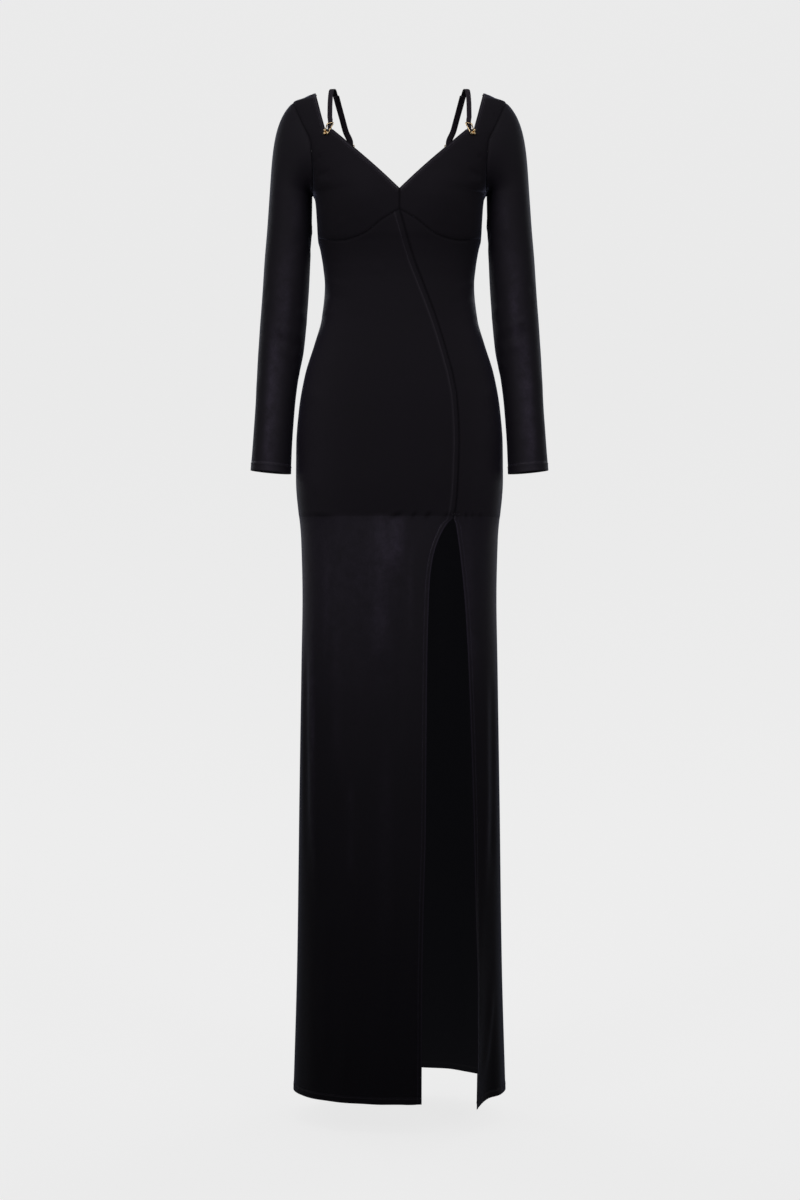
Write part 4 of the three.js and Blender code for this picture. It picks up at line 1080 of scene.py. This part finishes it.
backRing = [(2.4, 0.2), (3.0, 5.0), (4.3, 10.0), (5.4, 14.2), (4.5, 15.0), (0, 15.0),
            (-4.5, 15.0), (-5.4, 14.2), (-4.3, 10.0), (-3.0, 5.0), (-2.4, 0.2), (0, -2.0)]
frontBalls = [(-2.7, 2.2), (-2.6, -2.9), (2.4, -3.0)]
backBalls = [(-2.2, -0.6), (2.2, -0.6)]


def ringFrame(eye, side):
    # axes of a ring on the cloth: towards the centre, up and outwards, leaning by an angle
    x, z, face, lean = eye
    angle = angleAt(side * x, z, face)
    centre, out = withNormals(formPoint, angle, z)
    up = unit(np.array([0, 0, 1.0]) - out * out[2])
    inwards = np.array([-side, 0, 0.0])
    inwards = inwards - out * inwards.dot(out)
    inwards = unit(inwards - up * inwards.dot(up))
    turn = -math.radians(lean) * side * face
    spin = lambda v: v * math.cos(turn) + np.cross(out, v) * math.sin(turn)
    centre = centre + out * (wire["radius"] + wire["gap"])
    return centre, np.stack([spin(inwards), spin(up), out])


def roundPath(corners, count):
    # a closed centripetal curve through the corners, its segments worked out together
    p1 = corners
    p0, p2, p3 = np.roll(p1, 1, 0), np.roll(p1, -1, 0), np.roll(p1, -2, 0)
    span = lambda a, b: np.maximum(np.linalg.norm(b - a, axis=1), 1e-6)[:, None] ** 0.5
    d0, d1, d2 = span(p0, p1), span(p1, p2), span(p2, p3)
    m1 = ((p1 - p0) / d0 - (p2 - p0) / (d0 + d1) + (p2 - p1) / d1) * d1
    m2 = ((p2 - p1) / d1 - (p3 - p1) / (d1 + d2) + (p3 - p2) / d2) * d1
    t = np.linspace(0, 1, count, endpoint=False)[None, :, None]
    p1, p2, m1, m2 = (v[:, None, :] for v in (p1, p2, m1, m2))
    return hermite(t, p1, p2, m1, m2).reshape(-1, 3)


def circles(path, along, out, radius, sides):
    # a circle of points round each point of a path
    side = unit(np.cross(along, out))[:, None]
    out = np.broadcast_to(out, path.shape)[:, None]
    turn = fullTurn(sides)[None, :, None]
    return path[:, None] + radius * (np.cos(turn) * side + np.sin(turn) * out)


def facedOut(vertices, faces, middles):
    # the faces turned so that they look away from the middles given for them
    a, b, d = (vertices[faces[:, k]] for k in (0, 1, 3))
    outward = np.sum(np.cross(b - a, d - a) * (a - middles))
    return faces if outward > 0 else faces[:, ::-1]


def tube(path, out, radius, sides):
    # a circle carried round a closed path that lies in one plane
    along = unit(np.roll(path, -1, 0) - np.roll(path, 1, 0))
    rings = circles(path, along, out, radius, sides)
    vertices, middles = rings.reshape(-1, 3), np.repeat(rings.mean(axis=1), sides, axis=0)
    faces = gridFaces(len(path), sides, True, closedRows=True)
    return vertices, facedOut(vertices, faces, middles)


def knob(centre, radius, axes, squash=1.0, rows=14, sides=24):
    # a ball: circles whose radius is the sine of the way down it
    v = np.linspace(0.0001, math.pi - 0.0001, rows)[:, None]
    u = fullTurn(sides)[None, :]
    local = np.stack([np.sin(v) * np.cos(u), np.sin(v) * np.sin(u), squash * np.cos(v) + 0 * u],
                     axis=-1).reshape(-1, 3)
    vertices = centre + radius * local @ axes
    return vertices, facedOut(vertices, gridFaces(rows, sides, True), centre)


def ringPiece(name, node, corners, balls, eye, side):
    # a bent wire, a ball on each end of it and the domed head of the stud that holds it
    centre, axes = ringFrame(eye, side)
    flat = np.array([(across, up, 0.0) for across, up in corners]) @ axes + centre
    path = roundPath(flat, wire["pointsPerCorner"])
    parts = [tube(path, axes[2], wire["radius"], wire["sides"])]
    for across, up in balls:
        spot = centre + np.array([across, up, wire["ball"] - wire["radius"]]) @ axes
        parts.append(knob(spot, wire["ball"], axes))
    parts.append(knob(centre, wire["stud"], axes, wire["dome"]))
    inner = centre - axes[2] * wire["studLength"]
    parts.append(knob(inner, wire["innerStud"], axes, wire["innerDome"]))
    piece = meshObject(name, *joined(parts), goldMetal)
    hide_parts(node)


def strapStations():
    # middle, edge direction and width of the left strap, from its tail to its sewn return
    front, frontAxes = ringFrame(eyes["front"], 1)
    back, backAxes = ringFrame(eyes["back"], 1)
    lean = lambda degrees: np.array([math.cos(math.radians(degrees)), 0,
                                     -math.sin(math.radians(degrees))])
    stations = [(front + np.array([across, up, depth]) @ frontAxes, -frontAxes[0], width)
                for across, up, depth, width in strapTail]
    stations += [(np.array([x, y, z]), lean(degrees), width)
                 for x, y, z, width, degrees in strapRows]
    around = wire["radius"] + wire["gap"] + strap["thickness"] / 2
    start = strap["barTop"] + strap["lead"]
    bend = [(0.0, start, around)]
    bend += [(0.0, strap["barTop"] - around * math.sin(turn), around * math.cos(turn))
             for turn in np.linspace(0, math.pi, 9)]
    bend.append((strap["returnShift"] / 2, start, -around))
    stations += [(back + np.array(place) @ backAxes, -backAxes[0], strapRows[-1][3])
                 for place in bend]
    offset = strap["thickness"] + wire["gap"]
    places = np.array(strapRows)[:, :3]
    for i in range(len(strapRows) - 1, strap["returnEnd"] - 1, -1):
        along = places[min(i + 1, len(places) - 1)] - places[i - 1]
        edge = lean(strapRows[i][4])
        edge = unit(edge - along * edge.dot(along) / along.dot(along))
        shift = unit(np.cross(edge, along)) * offset + edge * strap["returnShift"]
        stations.append((places[i] - shift, edge, strapRows[i][3]))
    return [np.array(values) for values in zip(*stations)]


def strapPiece(side):
    # a ribbed tape: a flat rounded profile carried along the stations, joined smoothly
    middles, edges, widths = strapStations()
    run = runAlong(middles)
    fine = np.unique(np.concatenate([run, np.linspace(0, run[-1], strap["steps"])]))
    columns = [readTable({"run": run, "value": column}, "run", "value", fine)
               for column in (*middles.T, *edges.T, widths)]
    middle, edge, width = np.stack(columns[:3], 1), np.stack(columns[3:6], 1), columns[6]
    along = unit(np.gradient(middle, fine, axis=0))
    edge = unit(edge - along * np.sum(edge * along, axis=1, keepdims=True))
    out = np.cross(edge, along)
    flat = np.linspace(-1, 1, 17)
    rib = strap["ribHeight"] * np.cos(strap["ribs"] * math.pi * flat)
    crown = strap["thickness"] / 2 * (1 - np.abs(flat) ** 8) ** 0.5
    profile = [np.stack([flat, crown + rib * (np.abs(flat) < 0.95)], axis=1),
               np.stack([flat[::-1], -crown + 0 * rib], axis=1)[1:-1]]
    profile = np.concatenate(profile)
    across = profile[None, :, :1] * (width / 2)[:, None, None]
    points = middle[:, None] + across * edge[:, None] + profile[None, :, 1:] * out[:, None]
    rows, columns = points.shape[:2]
    faces = gridFaces(rows, columns, True, side > 0)
    ends = [list(range(columns)), list(range((rows - 1) * columns, rows * columns))]
    ends = [ends[0] if side > 0 else ends[0][::-1], ends[1][::-1] if side > 0 else ends[1]]
    mapAcross = profile[None, :, 0] * strap["halfMap"]
    uv = np.stack(np.broadcast_arrays(mapAcross, fine[:, None]), axis=-1)
    label = "left" if side > 0 else "right"
    piece = meshObject(f"{label}StrapTape", points.reshape(-1, 3) * np.array([side, 1, 1]),
                       faces, strapTape, uv.reshape(-1, 2))
    closeEnds(piece, ends)
    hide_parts(f"strap_{label}")


def closeEnds(piece, rings):
    # a face over each open end of a tape
    work = bmesh.new()
    work.from_mesh(piece.data)
    work.verts.ensure_lookup_table()
    for ring in rings:
        work.faces.new([work.verts[i] for i in ring])
    bmesh.ops.recalc_face_normals(work, faces=work.faces)
    work.to_mesh(piece.data)
    work.free()


for side, label in ((1, "left"), (-1, "right")):
    ringPiece(f"{label}FrontRing", f"ring_front_{label}", frontRing, frontBalls, eyes["front"],
              side)
    ringPiece(f"{label}BackRing", f"ring_back_{label}", backRing, backBalls, eyes["back"], side)
    strapPiece(side)
print("straps and rings made")


# Bar tack: a close zigzag of thread over the top of the slit
tack = {"x": 82.6, "z": -671, "width": 17, "height": 3.2, "teeth": 11, "radius": 0.34,
        "sides": 6, "lift": 1.6}


def tackPiece():
    # a zigzag on the cloth, carried by a fine tube
    count = tack["teeth"] * 2
    t = np.linspace(-0.5, 0.5, count + 1)
    zig = np.where(np.arange(count + 1) % 2 == 0, 0.5, -0.5)
    x, z = tack["x"] + t * tack["width"], tack["z"] + zig * tack["height"]
    angle = angleAt(x, z, 1)
    path, out = withNormals(formPoint, angle, z)
    path = path + out * tack["lift"]
    sides = tack["sides"]
    rings = circles(path, unit(np.gradient(path, axis=0)), out, tack["radius"], sides)
    piece = meshObject("slitTack", rings.reshape(-1, 3), gridFaces(len(path), sides, True),
                       sewingThread)
    last = sides * (len(path) - 1)
    closeEnds(piece, [list(range(sides)), list(range(last, last + sides))])


tackPiece()
print("bar tack made")


# Studio: a pale bowl all round, soft lamps, and the camera at the photograph's place
studio = {
    "floor": -1612,
    "inner": 5200,
    "bend": 1800,
    "height": 5200,
    "sides": 96,
    "paint": (0.30, 0.30, 0.30, 1),
    "paintForLight": (0.12, 0.12, 0.12, 1),
    "glow": 0.775,
    # light thrown, least and most, and the metres between which it changes
    "byDepth": (0.055, 0.21, -3.0, 3.0),
    "byHeight": (0.3, 1.2, -1.3, -0.5),
}
camera = {"place": (0.0008, -3.6, -0.802), "lens": 68.8}
lamps = [
    # name, place, aim, size across and up, watts, spread in degrees, colour
    ("leftFrontLamp", (-1.2, -2.1, 0.5), (0, 0, -0.34), (1.1, 0.9), 1.35, 45, (1, 0.96, 1)),
    ("rightFrontLamp", (1.2, -2.1, 0.5), (0, 0, -0.34), (1.1, 0.9), 0.95, 45, (1, 0.96, 1)),
    ("leftRearLamp", (-1.7, 2.3, 0.3), (0, 0, -0.36), (1.0, 0.9), 0.9, 50, (0.90, 0.94, 1)),
    ("rightRearLamp", (1.7, 2.3, 0.3), (0, 0, -0.36), (1.0, 0.9), 0.9, 50, (0.90, 0.94, 1)),
    ("topLamp", (0, -0.4, 2.2), (0, 0, -0.4), (1.6, 1.6), 5, 180, (1, 0.98, 1)),
]


def studioBowl():
    # a level floor that bends up into a round wall, and a ceiling that throws light but lets a
    # camera above it look in
    bend = np.linspace(0, math.pi / 2, 16)
    radius = np.concatenate([[0.01, studio["inner"]],
                             studio["inner"] + studio["bend"] * np.sin(bend[1:]),
                             [studio["inner"] + studio["bend"], 0.01]])
    height = np.concatenate([[0, 0], studio["bend"] * (1 - np.cos(bend[1:])),
                             [studio["height"], studio["height"]]]) + studio["floor"]
    turn = fullTurn(studio["sides"])[None, :]
    points = np.stack([radius[:, None] * np.cos(turn), radius[:, None] * np.sin(turn),
                       height[:, None] + 0 * turn], axis=-1)
    paint = studioMaterial()
    for name, part, seen in (("studioBowl", points[:-1], True),
                             ("studioCeiling", points[-2:], False)):
        mesh = bpy.data.meshes.new(name)
        faces = gridFaces(len(part), studio["sides"], True)
        mesh.from_pydata((part.reshape(-1, 3) * metre).tolist(), [], faces.tolist())
        mesh.shade_smooth()
        mesh.materials.append(paint)
        bowl = bpy.data.objects.new(name, mesh)
        bowl.visible_camera = seen
        bpy.context.collection.objects.link(bowl)


def studioMaterial():
    # even and pale to the eye; what it throws on the dress is strong behind it, weak in front,
    # and its paint sends on little light, so that no light runs on round the bowl
    material, tree = startMaterial("paleStudio")
    parts = addNode(tree, "SeparateXYZ", {0: objectPlace(tree)}).outputs
    thrown = maths(tree, "MULTIPLY", ranged(tree, parts["Y"], *studio["byDepth"]),
                   ranged(tree, parts["Z"], *studio["byHeight"]))
    seen = addNode(tree, "LightPath").outputs["Is Camera Ray"]
    strength = blended(tree, thrown, studio["glow"], seen, kind="FLOAT")
    colour = blended(tree, studio["paintForLight"], studio["paint"], seen)
    glow = addNode(tree, "Emission", {"Strength": strength}).outputs[0]
    paint = addNode(tree, "BsdfDiffuse", {"Color": colour}).outputs[0]
    both = addNode(tree, "AddShader", {0: glow, 1: paint}).outputs[0]
    addNode(tree, "OutputMaterial", {"Surface": both})
    material.cycles.emission_sampling = "NONE"
    return material


def aimAt(item, place, aim):
    # turned so that its own -Z runs from its place to the aim
    item.location = place
    item.rotation_euler = (Vector(aim) - Vector(place)).to_track_quat("-Z", "Y").to_euler()


def addLamps():
    # soft rectangles of light that the camera doesn't see
    for name, place, aim, size, watts, spread, colour in lamps:
        data = bpy.data.lights.new(name, "AREA")
        data.shape = "RECTANGLE"
        data.size, data.size_y = size
        data.energy = watts
        data.color = colour
        data.spread = math.radians(spread)
        lamp = bpy.data.objects.new(name, data)
        bpy.context.collection.objects.link(lamp)
        aimAt(lamp, place, aim)
        lamp.visible_camera = False


def addCamera():
    # level with the middle of the dress, looking straight at it
    data = bpy.data.cameras.new("camera")
    data.lens = camera["lens"]
    data.sensor_width = 36
    data.clip_end = 60
    item = bpy.data.objects.new("camera", data)
    bpy.context.collection.objects.link(item)
    x, y, z = camera["place"]
    aimAt(item, (x, y, z), (x, 0, z))
    bpy.context.scene.camera = item


studioBowl()
addLamps()
addCamera()
bpy.context.scene.view_settings.view_transform = "Standard"
print("studio made")
